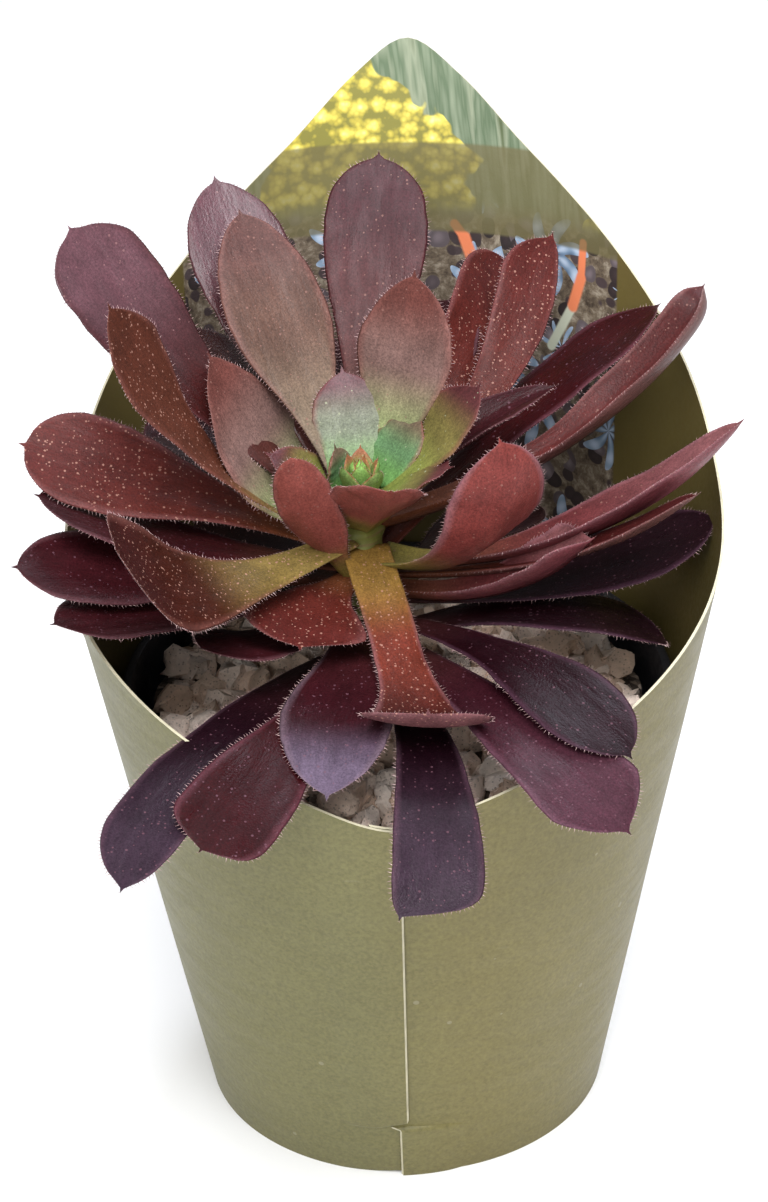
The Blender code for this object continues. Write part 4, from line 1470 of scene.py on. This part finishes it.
        # The dark end of the ramp is painted shade for the gaps between stones; the pale crumbs
        # are the grit's own colour.
        shade = wiring.ramp(tint, ((0.0, (0.03, 0.02, 0.014)), (0.6, (0.10, 0.07, 0.05)),
                                   (1.0, (0.30, 0.24, 0.19))))
        base = wiring.group(effects.mottle, Vector=place, Colour=shade, Scale=150.0,
                            Depth=0.4)
        set_inputs(shader, wiring, Base_Color=base.outputs["Colour"],
                   Roughness=wiring.span(base.outputs["Height"], 0.3, 0.7, 0.85, 0.98),
                   Normal=wiring.bump(crumbs.outputs["Distance"], -0.0009, 1.0))
        return material

    @staticmethod
    def potting_mix(effects: Effects) -> bpy.types.Material:
        """Return damp crumbly peat with pale fibres.

        Args:
            effects: The shared groups.

        Returns:
            The finished material.
        """
        material, wiring, shader = new_material("peat_mix")
        place = wiring.place()
        crumbs = wiring.noise(place, 500.0, 5.0, 0.7)
        base = wiring.group(effects.mottle, Vector=place, Colour=(0.035, 0.021, 0.013),
                            Scale=140.0, Depth=0.5)
        fibres = wiring.noise(wiring.stretched(place, (1200.0, 160.0, 400.0)), 1.0, 2.0)
        colour = wiring.blend(wiring.span(fibres, 0.62, 0.72, 0.0, 0.5),
                              base.outputs["Colour"], (0.11, 0.07, 0.04))
        set_inputs(shader, wiring, Base_Color=colour,
                   Roughness=wiring.span(crumbs, 0.3, 0.7, 0.8, 0.98),
                   Normal=wiring.bump(crumbs, 0.0012, 1.0))
        return material


class GravelTree:
    """Geometry Nodes tree that lays a layer of gravel stones over a surface."""

    VARIANTS = 5

    def __init__(self, stone: bpy.types.Material) -> None:
        """Build the tree with its named inputs.

        Args:
            stone: The stones' material.
        """
        self.tree = bpy.data.node_groups.new("gravel_layer", "GeometryNodeTree")
        face = self.tree.interface
        face.new_socket("Geometry", in_out="INPUT", socket_type="NodeSocketGeometry")
        self.sockets = {}
        for name, kind, value in (("Lift", FLOAT, 0.0), ("Spacing", FLOAT, 5 * MM),
                                  ("Stone Size", FLOAT, 6 * MM),
                                  ("Seed", "NodeSocketInt", 1)):
            socket = face.new_socket(name, in_out="INPUT", socket_type=kind)
            socket.default_value = value
            self.sockets[name] = socket.identifier
        face.new_socket("Geometry", in_out="OUTPUT", socket_type="NodeSocketGeometry")
        wiring = Wiring(self.tree)
        given, end = wiring.node("NodeGroupInput").outputs, wiring.node("NodeGroupOutput")
        seed = given["Seed"]
        spots = wiring.node("GeometryNodeDistributePointsOnFaces",
                            {"Mesh": given["Geometry"], "Distance Min": given["Spacing"],
                             "Density Max": 200000.0, "Seed": seed},
                            distribute_method="POISSON").outputs[0]
        lift = wiring.node("ShaderNodeCombineXYZ", {2: given["Lift"]}).outputs[0]
        spots = wiring.node("GeometryNodeSetPosition",
                            {"Geometry": spots, "Offset": lift}).outputs[0]
        stones = wiring.node("GeometryNodeJoinGeometry")
        for variant in range(self.VARIANTS):
            wiring.feed(stones.inputs[0], self.stone_shape(wiring, variant))
        instance = wiring.node("GeometryNodeInstanceOnPoints", {
            "Points": spots, "Instance": stones.outputs[0], "Pick Instance": True,
            "Instance Index": self.random(wiring, "INT", 0, self.VARIANTS - 1, seed, 1),
            "Rotation": self.random(wiring, "FLOAT_VECTOR", (0,) * 3, (6.283,) * 3, seed, 2),
            "Scale": self.sized(wiring, given["Stone Size"], seed)}).outputs[0]
        shaded = wiring.node("GeometryNodeStoreNamedAttribute", {
            "Geometry": instance, "Name": "stone_shade",
            "Value": self.random(wiring, "FLOAT", 0.0, 1.0, seed, 4)},
            data_type="FLOAT", domain="INSTANCE").outputs[0]
        real = wiring.node("GeometryNodeRealizeInstances", {0: shaded}).outputs[0]
        dressed = wiring.node("GeometryNodeSetMaterial",
                              {"Geometry": real, "Material": stone}).outputs[0]
        wiring.feed(end.inputs[0], dressed)

    @staticmethod
    def random(wiring: Wiring, kind: str, low: Value, high: Value, seed: Socket,
               stream: int) -> Socket:
        """Return random values of a kind; each stream differs.

        Args:
            wiring: The tree's wiring.
            kind: The data type.
            low: The least value.
            high: The greatest value.
            seed: The tree's seed.
            stream: Which set of values to draw.

        Returns:
            The values.
        """
        first, out = {"FLOAT_VECTOR": (0, 0), "FLOAT": (2, 1), "INT": (4, 2)}[kind]
        made = wiring.node("FunctionNodeRandomValue", {
            first: low, first + 1: high,
            "Seed": wiring.math("MULTIPLY_ADD", seed, 17.0, float(stream))},
            data_type=kind)
        return made.outputs[out]

    def sized(self, wiring: Wiring, size: Socket, seed: Socket) -> Socket:
        """Return a random stone scale about a size, different along each axis.

        Args:
            wiring: The tree's wiring.
            size: The mean size.
            seed: The tree's seed.

        Returns:
            The scale of each stone.
        """
        shape = self.random(wiring, "FLOAT_VECTOR", (0.72, 0.72, 0.6), (1.15, 1.15, 0.95),
                            seed, 3)
        scaled = wiring.vector("SCALE", shape)
        wiring.feed(scaled.node.inputs["Scale"], size)
        return scaled

    @staticmethod
    def stone_shape(wiring: Wiring, variant: int) -> Socket:
        """Return one lumpy stone of unit size as an instance.

        Args:
            wiring: The tree's wiring.
            variant: The number of the shape.

        Returns:
            The stone.
        """
        ball = wiring.node("GeometryNodeMeshIcoSphere", {"Radius": 0.5,
                                                         "Subdivisions": 2}).outputs[0]
        place = wiring.node("GeometryNodeInputPosition").outputs[0]
        moved = wiring.vector("ADD", place, (variant * 5.3, variant * 1.7, 0.4))
        lumps = wiring.node("ShaderNodeTexNoise", {"Vector": moved, "Scale": 1.9,
                                                   "Detail": 1.0}).outputs["Color"]
        offset = wiring.vector("SUBTRACT", lumps, (0.5, 0.5, 0.5))
        shaped = wiring.node("GeometryNodeSetPosition", {"Geometry": ball,
                                                         "Offset": offset}).outputs[0]
        smooth_shape = wiring.node("GeometryNodeSetShadeSmooth",
                                   {"Geometry": shaped}).outputs[0]
        return wiring.node("GeometryNodeGeometryToInstance", {0: smooth_shape}).outputs[0]


# ---------------------------------------------------------------- sleeve

@dataclass
class Sleeve:
    """The plastic sheet: an oval cone lapped at the front and interlocked by a tab."""

    sheet: float = 0.5 * MM
    foot_x: float = 41.0 * MM
    foot_y: float = 37.4 * MM
    round_height: float = 100 * MM
    round_radius: float = 57.2 * MM
    bevel: float = 0.7 * MM
    lap_end: float = 0.8
    lap_under: float = -5.0
    lap_gap: float = 0.95 * MM
    tab_height: float = 16.5 * MM
    tab_end: float = -1.5
    slot_half: float = 1.2 * MM
    lap_fade: float = 16.0
    waver: float = 0.25 * MM
    waver_size: float = 50 * MM
    peak_shift: float = 3.3
    columns: int = 260
    rows: int = 72
    turns: tuple[float, ...] = (0, 15, 45, 75, 100, 120, 140, 160, 172, 180)
    heights: tuple[float, ...] = (99, 103.5, 113.5, 123, 132, 145.5, 160, 177, 190.3, 196.6)

    def rim(self, azimuth: float) -> float:
        """Return the height of the cut edge at an azimuth in degrees.

        Args:
            azimuth: The direction in degrees.

        Returns:
            The height in metres.
        """
        shifted = azimuth + self.peak_shift * math.sin(math.radians(azimuth / 2)) ** 2
        turn = abs((shifted + 180) % 360 - 180)
        last = len(self.turns) - 2
        index = max(i for i in range(last + 1) if self.turns[i] <= turn)
        span = self.turns[index + 1] - self.turns[index]
        share = (turn - self.turns[index]) / span

        def slope(knot: int) -> float:
            """Return how steeply the edge rises at a knot."""
            if knot in (0, last + 1):
                return 0.0
            return ((self.heights[knot + 1] - self.heights[knot - 1])
                    / (self.turns[knot + 1] - self.turns[knot - 1]))

        square, cube = share * share, share ** 3
        return MM * ((2 * cube - 3 * square + 1) * self.heights[index]
                     + (cube - 2 * square + share) * span * slope(index)
                     + (3 * square - 2 * cube) * self.heights[index + 1]
                     + (cube - square) * span * slope(index + 1))

    def radii(self, height: float) -> tuple[float, float]:
        """Return the half widths along X and Y at a height."""
        share = height / self.round_height
        return (mix(self.foot_x, self.round_radius, share),
                mix(self.foot_y, self.round_radius, share))

    def levels(self) -> list[float]:
        """Return the heights of the sheet's rows, as shares: close at the tab."""
        low = [i / 14 for i in range(14)]
        tab = [1 + i / 10 for i in range(11)]
        high = [2 + (i + 1) / self.rows for i in range(self.rows)]
        return low + tab + high

    def point(self, share: float, level: float) -> tuple[Vector, float, float]:
        """Return a point of the sheet's middle, its azimuth and its height.

        Args:
            share: The share of the way round, from the outer end of the lap.
            level: The row, from `levels`.

        Returns:
            The point, its azimuth in degrees and its height in metres.
        """
        slot_low, slot_high = self.tab_height - self.slot_half, self.tab_height + self.slot_half
        above = smooth(level, 1.35, 1.65)
        first = self.lap_end
        last = -360 + mix(self.tab_end, self.lap_under, above)
        azimuth = mix(first, last, share)
        rim = self.rim(azimuth)
        slant = 0.25 * MM * azimuth if azimuth > -8 else -2.0 * MM
        low = slot_low + slant
        high = slot_high + slant
        if level < 1:
            base = self.hang(azimuth)
            height = mix(base, low, level)
        elif level <= 2:
            height = mix(low, high, level - 1)
        else:
            height = mix(high, rim, level - 2)
        radius_x, radius_y = self.radii(height)
        outer_panel = max(0.0, 1 - (self.lap_end - azimuth) / self.lap_fade) ** 0.6
        tab_panel = max(0.0, 1 - (azimuth - last) / self.lap_fade) ** 0.6
        push = self.lap_gap * (outer_panel * above + tab_panel * (1 - above))
        angle = math.radians(azimuth)
        waver = self.waver * noise.noise(Vector((math.sin(angle) * 1.6, math.cos(angle) * 1.6,
                                                 height / self.waver_size)))
        waver *= smooth(height, 0.0, 60 * MM)
        place = Vector(((radius_x + push + waver) * math.sin(angle),
                        -(radius_y + push + waver) * math.cos(angle), height))
        return place, azimuth, height

    def hang(self, azimuth: float) -> float:
        """Return how far the bottom edge is off the ground near the lap."""
        return 0.9 * MM * max(0.0, 1 + (azimuth - self.lap_end) / 25) ** 2

    def build(self, effects: Effects) -> None:
        """Build the sheet with its inner face, outer face and cut edges.

        Args:
            effects: The shared groups.
        """
        levels, columns = self.levels(), self.columns
        grid = [[self.point(c / columns, level) for c in range(columns + 1)]
                for level in levels]
        rows = len(levels)
        points, coordinates = [], []
        for sign in (0.5, -0.5):
            for r in range(rows):
                for c in range(columns + 1):
                    place, azimuth, height = grid[r][c]
                    across = (grid[r][min(c + 1, columns)][0] - grid[r][max(c - 1, 0)][0])
                    up = grid[min(r + 1, rows - 1)][c][0] - grid[max(r - 1, 0)][c][0]
                    normal = up.cross(across).normalized()
                    if normal.dot(Vector((place.x, place.y, 0))) < 0:
                        normal = -normal
                    along = across.normalized() * self.bevel * max(sign, 0.0)
                    along *= {0: 1.0, columns: -1.0}.get(c, 0.0)
                    points.append(place + normal * self.sheet * sign + along)
                    back = math.radians(-180 - azimuth)
                    radius = sum(self.radii(height)) / 2
                    coordinates.append((back * radius * 10, height * 10))
        faces, kinds = [], []
        width, shift = columns + 1, rows * (columns + 1)
        for r in range(rows - 1):
            for c in range(columns):
                a, b, d, e = (r * width + c, r * width + c + 1, (r + 1) * width + c + 1,
                              (r + 1) * width + c)
                faces += [(a, b, d, e), (a + shift, e + shift, d + shift, b + shift)]
                kinds += [0, 1]
        for r in range(rows - 1):
            for c in (0, columns):
                a, b = r * width + c, (r + 1) * width + c
                faces.append((a, b, b + shift, a + shift))
                kinds.append(2)
        for c in range(columns):
            for r in (0, rows - 1):
                a, b = r * width + c, r * width + c + 1
                faces.append((a, b, b + shift, a + shift))
                kinds.append(2)
        mesh = mesh_of("sleeve_sheet", points, faces)
        layer = mesh.uv_layers.new(name="sheet_plan")
        for loop in mesh.loops:
            layer.data[loop.index].uv = coordinates[loop.vertex_index]
        face_out(mesh)
        piece = add_piece("sleeve_sheet", mesh, [
            self.outside(effects), self.inside(effects), self.cut_edge(effects)], 50.0)
        mesh.polygons.foreach_set("material_index", kinds)
        settle(piece, "sleeve_sheet", "sleeve")

    @staticmethod
    def outside(effects: Effects) -> bpy.types.Material:
        """Return the satin grey-olive outer face, browner on the right-hand panel.

        Args:
            effects: The shared groups.

        Returns:
            The finished material.
        """
        material, wiring, shader = new_material("sheet_outside")
        place = wiring.place()
        side = wiring.node("ShaderNodeSeparateXYZ", {0: place}).outputs[0]
        tone = wiring.blend(wiring.span(side, -0.012, 0.016), (0.137, 0.127, 0.050),
                            (0.152, 0.128, 0.044))
        base = wiring.group(effects.mottle, Vector=place, Colour=tone, Scale=45.0,
                            Depth=0.07)
        grain = wiring.noise(place, 1300.0, 3.0, 0.65)
        scuffs = wiring.noise(wiring.stretched(place, (70.0, 70.0, 420.0)), 1.0, 4.0, 0.7)
        colour = wiring.blend(wiring.span(scuffs, 0.66, 0.78, 0.0, 0.30),
                              base.outputs["Colour"], (0.25, 0.23, 0.15))
        colour = wiring.blend(0.5, colour, wiring.ramp(grain, (
            (0.3, (0.6, 0.6, 0.6)), (0.7, (1.4, 1.4, 1.4)))), "MULTIPLY")
        dust = wiring.group(effects.flecks, Vector=place, Scale=120.0, Radius=0.07,
                            Share=0.35).outputs["Mask"]
        colour = wiring.over(dust, 0.35, colour,
                              (0.32, 0.30, 0.22))
        set_inputs(shader, wiring, Base_Color=colour,
                   Roughness=wiring.span(scuffs, 0.3, 0.7, 0.42, 0.52),
                   Specular_IOR_Level=0.3,
                   Normal=wiring.bump(grain, 0.00006, 0.7))
        return material

    @staticmethod
    def cut_edge(effects: Effects) -> bpy.types.Material:
        """Return the pale cut edge of the sheet.

        Args:
            effects: The shared groups.

        Returns:
            The finished material.
        """
        material, wiring, shader = new_material("sheet_cut_edge")
        place = wiring.place()
        base = wiring.group(effects.mottle, Vector=place, Colour=(0.52, 0.48, 0.34),
                            Scale=300.0, Depth=0.25)
        set_inputs(shader, wiring, Base_Color=base.outputs["Colour"], Roughness=0.5)
        return material

    def inside(self, effects: Effects) -> bpy.types.Material:
        """Return the inner face: dark olive, with a garden print on the back panel.

        Args:
            effects: The shared groups.

        Returns:
            The finished material.
        """
        material, wiring, shader = new_material("sheet_inside")
        place = wiring.place()
        plan = wiring.node("ShaderNodeUVMap", uv_map="sheet_plan").outputs[0]
        plain = wiring.group(effects.mottle, Vector=place, Colour=(0.115, 0.088, 0.026),
                             Scale=40.0, Depth=0.10).outputs["Colour"]
        print_colour, panel = GardenPrint(wiring, effects, plan).paint()
        colour = wiring.blend(panel, plain, print_colour)
        grain = wiring.noise(place, 900.0, 3.0, 0.6)
        set_inputs(shader, wiring, Base_Color=colour,
                   Roughness=wiring.span(grain, 0.3, 0.7, 0.36, 0.48),
                   Normal=wiring.bump(grain, 0.00006, 0.6))
        return material


@dataclass
class GardenPrint:
    """A generic garden scene in flat inks. Plan units: 1 is 100 mm along the sheet."""

    wiring: Wiring
    effects: Effects
    plan: Socket
    left: float = -0.455
    right: float = 0.505
    band_low: float = 1.585
    band_high: float = 1.762

    def paint(self) -> tuple[Socket, Socket]:
        """Return the print's colour and the mask of the panel it covers."""
        wiring = self.wiring
        parts = wiring.node("ShaderNodeSeparateXYZ", {0: self.plan})
        across, height = parts.outputs[0], parts.outputs[1]
        colour = self.blades(across, height)
        colour = self.ground(colour, height)
        colour = self.panicle(colour, across, height)
        colour = self.stalks(colour)
        band = wiring.math("MULTIPLY", wiring.span(height, self.band_low - 0.004,
                                                   self.band_low + 0.004),
                           wiring.span(height, self.band_high - 0.004,
                                       self.band_high + 0.004, 1.0, 0.0))
        colour = wiring.over(band, 0.80, colour,
                              (0.145, 0.125, 0.055))
        sides = wiring.math("MULTIPLY",
                            wiring.span(across, self.left - 0.003, self.left + 0.003),
                            wiring.span(across, self.right - 0.003, self.right + 0.003,
                                        1.0, 0.0))
        return colour, wiring.math("MULTIPLY", sides, wiring.span(height, 1.0, 1.02))

    def blades(self, across: Socket, height: Socket) -> Socket:
        """Return the blurred green blades at the top.

        Args:
            across: The place along the sheet.
            height: The height.

        Returns:
            The colour.
        """
        wiring = self.wiring
        lean = wiring.math("MULTIPLY_ADD", height, 0.10, across)
        flat = wiring.node("ShaderNodeCombineXYZ", {
            0: wiring.math("MULTIPLY", lean, 11.0),
            1: wiring.math("MULTIPLY", height, 1.1)}).outputs[0]
        leaves = wiring.noise(flat, 1.0, 4.0, 0.6)
        return wiring.ramp(leaves, ((0.28, (0.03, 0.04, 0.03)), (0.40, (0.10, 0.13, 0.06)),
                                    (0.46, (0.28, 0.32, 0.22)), (0.51, (0.11, 0.16, 0.09)),
                                    (0.58, (0.27, 0.32, 0.22)), (0.70, (0.58, 0.60, 0.54))))

    def share(self, cells: bpy.types.Node, channel: int) -> Socket:
        """Return one random number for each cell."""
        parts = self.wiring.node("ShaderNodeSeparateColor", {0: cells.outputs["Color"]})
        return parts.outputs[channel]

    def ground(self, colour: Socket, height: Socket) -> Socket:
        """Return sand, dark pebbles and pale rosettes below the band, over a colour.

        Args:
            colour: What it covers.
            height: The height.

        Returns:
            The colour.
        """
        wiring = self.wiring
        shift = wiring.vector("MULTIPLY", wiring.node(
            "ShaderNodeTexNoise", {"Vector": self.plan, "Scale": 9.0}).outputs["Color"],
            (0.05, 0.05, 0.0))
        warped = wiring.vector("ADD", self.plan, shift)
        sand = wiring.ramp(wiring.noise(warped, 38.0, 5.0, 0.75), (
            (0.34, (0.05, 0.036, 0.026)), (0.5, (0.15, 0.115, 0.08)), (0.68, (0.36, 0.31, 0.24))))
        pebbles = wiring.cells(warped, 27.0)
        oval = wiring.span(pebbles.outputs["Distance"], 0.47, 0.52, 1.0, 0.0)
        pebble = wiring.math("MULTIPLY", oval, wiring.math(
            "LESS_THAN", self.share(pebbles, 0), 0.92))
        shade = wiring.ramp(self.share(pebbles, 2), (
            (0.0, (0.035, 0.025, 0.026)), (0.6, (0.10, 0.068, 0.072)),
            (1.0, (0.24, 0.20, 0.22))))
        shade = wiring.blend(wiring.span(pebbles.outputs["Distance"], 0.05, 0.4, 0.0, 0.5),
                             shade, (0.02, 0.016, 0.015))
        bed = wiring.blend(pebble, sand, shade)
        big = wiring.cells(self.plan, 6.2, 0.8)
        spot = wiring.node("ShaderNodeSeparateXYZ", {0: wiring.vector(
            "SUBTRACT", self.plan, big.outputs["Position"])})
        angle = wiring.math("ARCTAN2", spot.outputs[1], spot.outputs[0])
        distance = big.outputs["Distance"]
        petals = wiring.math("COSINE", wiring.math("MULTIPLY_ADD", angle, 7.0, wiring.math(
            "MULTIPLY", distance, 9.0)))
        tip = wiring.math("MULTIPLY_ADD", petals, 0.16, 0.40)
        flower = wiring.math("MULTIPLY", wiring.math("LESS_THAN", distance, tip),
                             wiring.math("GREATER_THAN", self.share(big, 1), 0.2))
        rings = wiring.math("SINE", wiring.math("MULTIPLY", distance, 34.0))
        light = wiring.math("MULTIPLY_ADD", rings, 0.16, wiring.math(
            "MULTIPLY_ADD", petals, 0.28, 0.5))
        pale = wiring.ramp(light, ((0.1, (0.055, 0.085, 0.14)), (0.5, (0.19, 0.28, 0.40)),
                                   (0.95, (0.48, 0.58, 0.72))))
        bed = wiring.blend(flower, bed, pale)
        return wiring.blend(wiring.span(height, 1.60, 1.66, 1.0, 0.0), colour, bed)

    def panicle(self, colour: Socket, across: Socket, height: Socket) -> Socket:
        """Return a broad cone of yellow flower puffs over a colour.

        Args:
            colour: What it covers.
            across: The place along the sheet.
            height: The height.

        Returns:
            The colour.
        """
        wiring = self.wiring
        edge = wiring.math("MULTIPLY", wiring.math("SUBTRACT", wiring.noise(
            self.plan, 24.0, 1.0), 0.5), 0.10)
        top = wiring.math("MULTIPLY", wiring.math("SUBTRACT", 1.925, height), 1.35)
        reach = wiring.math("MINIMUM", top, 0.22)
        offset = wiring.math("ABSOLUTE", wiring.math("ADD", across, 0.045))
        inside = wiring.math("ADD", wiring.math("SUBTRACT", reach, offset), edge)
        spray = wiring.cells(self.plan, 13.0, 0.9)
        side = wiring.math("MULTIPLY", wiring.math(
            "LESS_THAN", spray.outputs["Distance"], 0.33), wiring.math(
            "LESS_THAN", self.share(spray, 2), 0.34))
        side = wiring.math("MULTIPLY", side, wiring.span(height, 1.70, 1.76, 1.0, 0.0))
        mask = wiring.math("MAXIMUM", wiring.span(inside, -0.004, 0.006), side)
        mask = wiring.math("MULTIPLY", mask, wiring.span(height, 1.62, 1.66))
        puffs = wiring.cells(wiring.vector("MULTIPLY", self.plan, (1.0, 1.3, 1.0)), 29.0,
                             0.8)
        florets = wiring.cells(self.plan, 95.0)
        glow = wiring.math("MULTIPLY_ADD", florets.outputs["Distance"], 0.30,
                           puffs.outputs["Distance"])
        shade = wiring.ramp(glow, ((0.22, (0.93, 0.86, 0.36)), (0.44, (0.84, 0.72, 0.14)),
                                   (0.66, (0.52, 0.43, 0.07)), (0.84, (0.24, 0.22, 0.05))))
        return wiring.blend(mask, colour, shade)

    def stalks(self, colour: Socket) -> Socket:
        """Return a few coral flower stalks with pale stems over a colour.

        Args:
            colour: What they cover.

        Returns:
            The colour.
        """
        wiring = self.wiring
        coral, stem = (0.75, 0.22, 0.10), (0.55, 0.58, 0.46)
        runs = (((0.150, 1.44), (0.172, 1.53), 0.020, stem),
                ((0.172, 1.53), (0.155, 1.575), 0.026, coral),
                ((0.155, 1.575), (0.135, 1.60), 0.020, coral),
                ((0.345, 1.38), (0.395, 1.47), 0.020, stem),
                ((0.395, 1.47), (0.415, 1.53), 0.024, coral),
                ((0.415, 1.53), (0.420, 1.60), 0.018, coral),
                ((-0.06, 1.42), (-0.03, 1.54), 0.022, stem))
        for first, second, width, ink in runs:
            mask = wiring.group(self.effects.stroke, Vector=self.plan, From=(*first, 0.0),
                                To=(*second, 0.0), Width=width).outputs["Mask"]
            colour = wiring.blend(mask, colour, ink)
        return colour


# ---------------------------------------------------------------- studio

@dataclass
class Studio:
    """The pale floor, the soft light and the camera."""

    camera_place: Vector = Vector((5.6, -426.6, 366.8)) * MM
    pitch: float = 30.92
    yaw: float = -1.04
    roll: float = -1.60
    long_side_focal: float = 2600 / 1202
    sensor: float = 36.0

    def build(self) -> None:
        """Build the floor, lights and camera."""
        scene = bpy.context.scene
        scene.view_settings.view_transform = "Standard"
        self.floor()
        world = bpy.data.worlds.new("soft_sky")
        world.use_nodes = True
        background = world.node_tree.nodes["Background"]
        background.inputs[0].default_value = (1.0, 1.0, 1.0, 1.0)
        background.inputs[1].default_value = 0.50
        scene.world = world
        self.light("overhead", (0.05, -0.42, 1.05), 0.7, 17.0, (0.97, 0.98, 1.0))
        self.light("back", (0.25, 0.55, 0.85), 0.4, 4.0, (0.84, 0.88, 1.0))
        self.light("front", (-0.35, -1.15, 0.75), 0.8, 6.0, (1.0, 0.99, 0.96))
        self.camera()

    def floor(self) -> None:
        """Build the pale floor, a smooth sheet that rises far behind."""
        points, faces = [], []
        steps = 24
        for i in range(steps + 1):
            y = mix(-3.0, 4.0, i / steps)
            z = 1.5 * smooth(y, 2.2, 4.0) ** 2
            points += [Vector((-4.0, y, z)), Vector((4.0, y, z))]
            if i:
                faces.append((2 * i - 2, 2 * i - 1, 2 * i + 1, 2 * i))
        material, wiring, shader = new_material("studio_floor")
        shade = wiring.ramp(wiring.noise(wiring.place(), 3.0), (
            (0.3, (0.86, 0.86, 0.86)), (0.7, (0.89, 0.89, 0.89))))
        set_inputs(shader, wiring, Base_Color=shade, Roughness=0.9)
        add_piece("studio_floor", mesh_of("studio_floor", points, faces),
                           [material], None)

    @staticmethod
    def light(name: str, place: tuple[float, float, float], size: float, power: float,
              colour: Colour) -> None:
        """Hang a square soft light that faces the plant.

        Args:
            name: The light's name.
            place: Its place in metres.
            size: Its side in metres.
            power: Its power in watts.
            colour: Its colour.
        """
        data = bpy.data.lights.new(name, "AREA")
        data.shape, data.size, data.energy, data.color = "SQUARE", size, power, colour
        lamp = bpy.data.objects.new(name, data)
        lamp.location = place
        aim = Vector((0, 0, 0.12)) - Vector(place)
        lamp.rotation_euler = aim.to_track_quat("-Z", "Y").to_euler()
        link(lamp)

    def camera(self) -> None:
        """Set up the camera above the plant's front."""
        pitch, yaw, roll = (math.radians(a) for a in (self.pitch, self.yaw, self.roll))
        forward = Vector((math.sin(yaw) * math.cos(pitch), math.cos(yaw) * math.cos(pitch),
                          -math.sin(pitch)))
        right = forward.cross(Vector((0, 0, 1))).normalized()
        up = right.cross(forward)
        tilted = right * math.cos(roll) + up * math.sin(roll)
        top = up * math.cos(roll) - right * math.sin(roll)
        data = bpy.data.cameras.new("camera")
        data.sensor_width = self.sensor
        data.lens = self.long_side_focal * self.sensor
        data.clip_start, data.clip_end = 0.01, 20.0
        camera = bpy.data.objects.new("camera", data)
        turn = Matrix((tilted, top, -forward)).transposed()
        camera.matrix_world = Matrix.Translation(self.camera_place) @ turn.to_4x4()
        link(camera)
        bpy.context.scene.camera = camera


def main() -> None:
    """Build the studio, the sleeve, the pot with its filling, and the plant."""
    logging.basicConfig(level=logging.INFO, format="%(name)s: %(message)s")
    effects = Effects()
    Studio().build()
    Sleeve().build(effects)
    NurseryPot().build(effects)
    Filling().build(effects)
    Plant().build(effects)


if __name__ == "__main__":
    main()
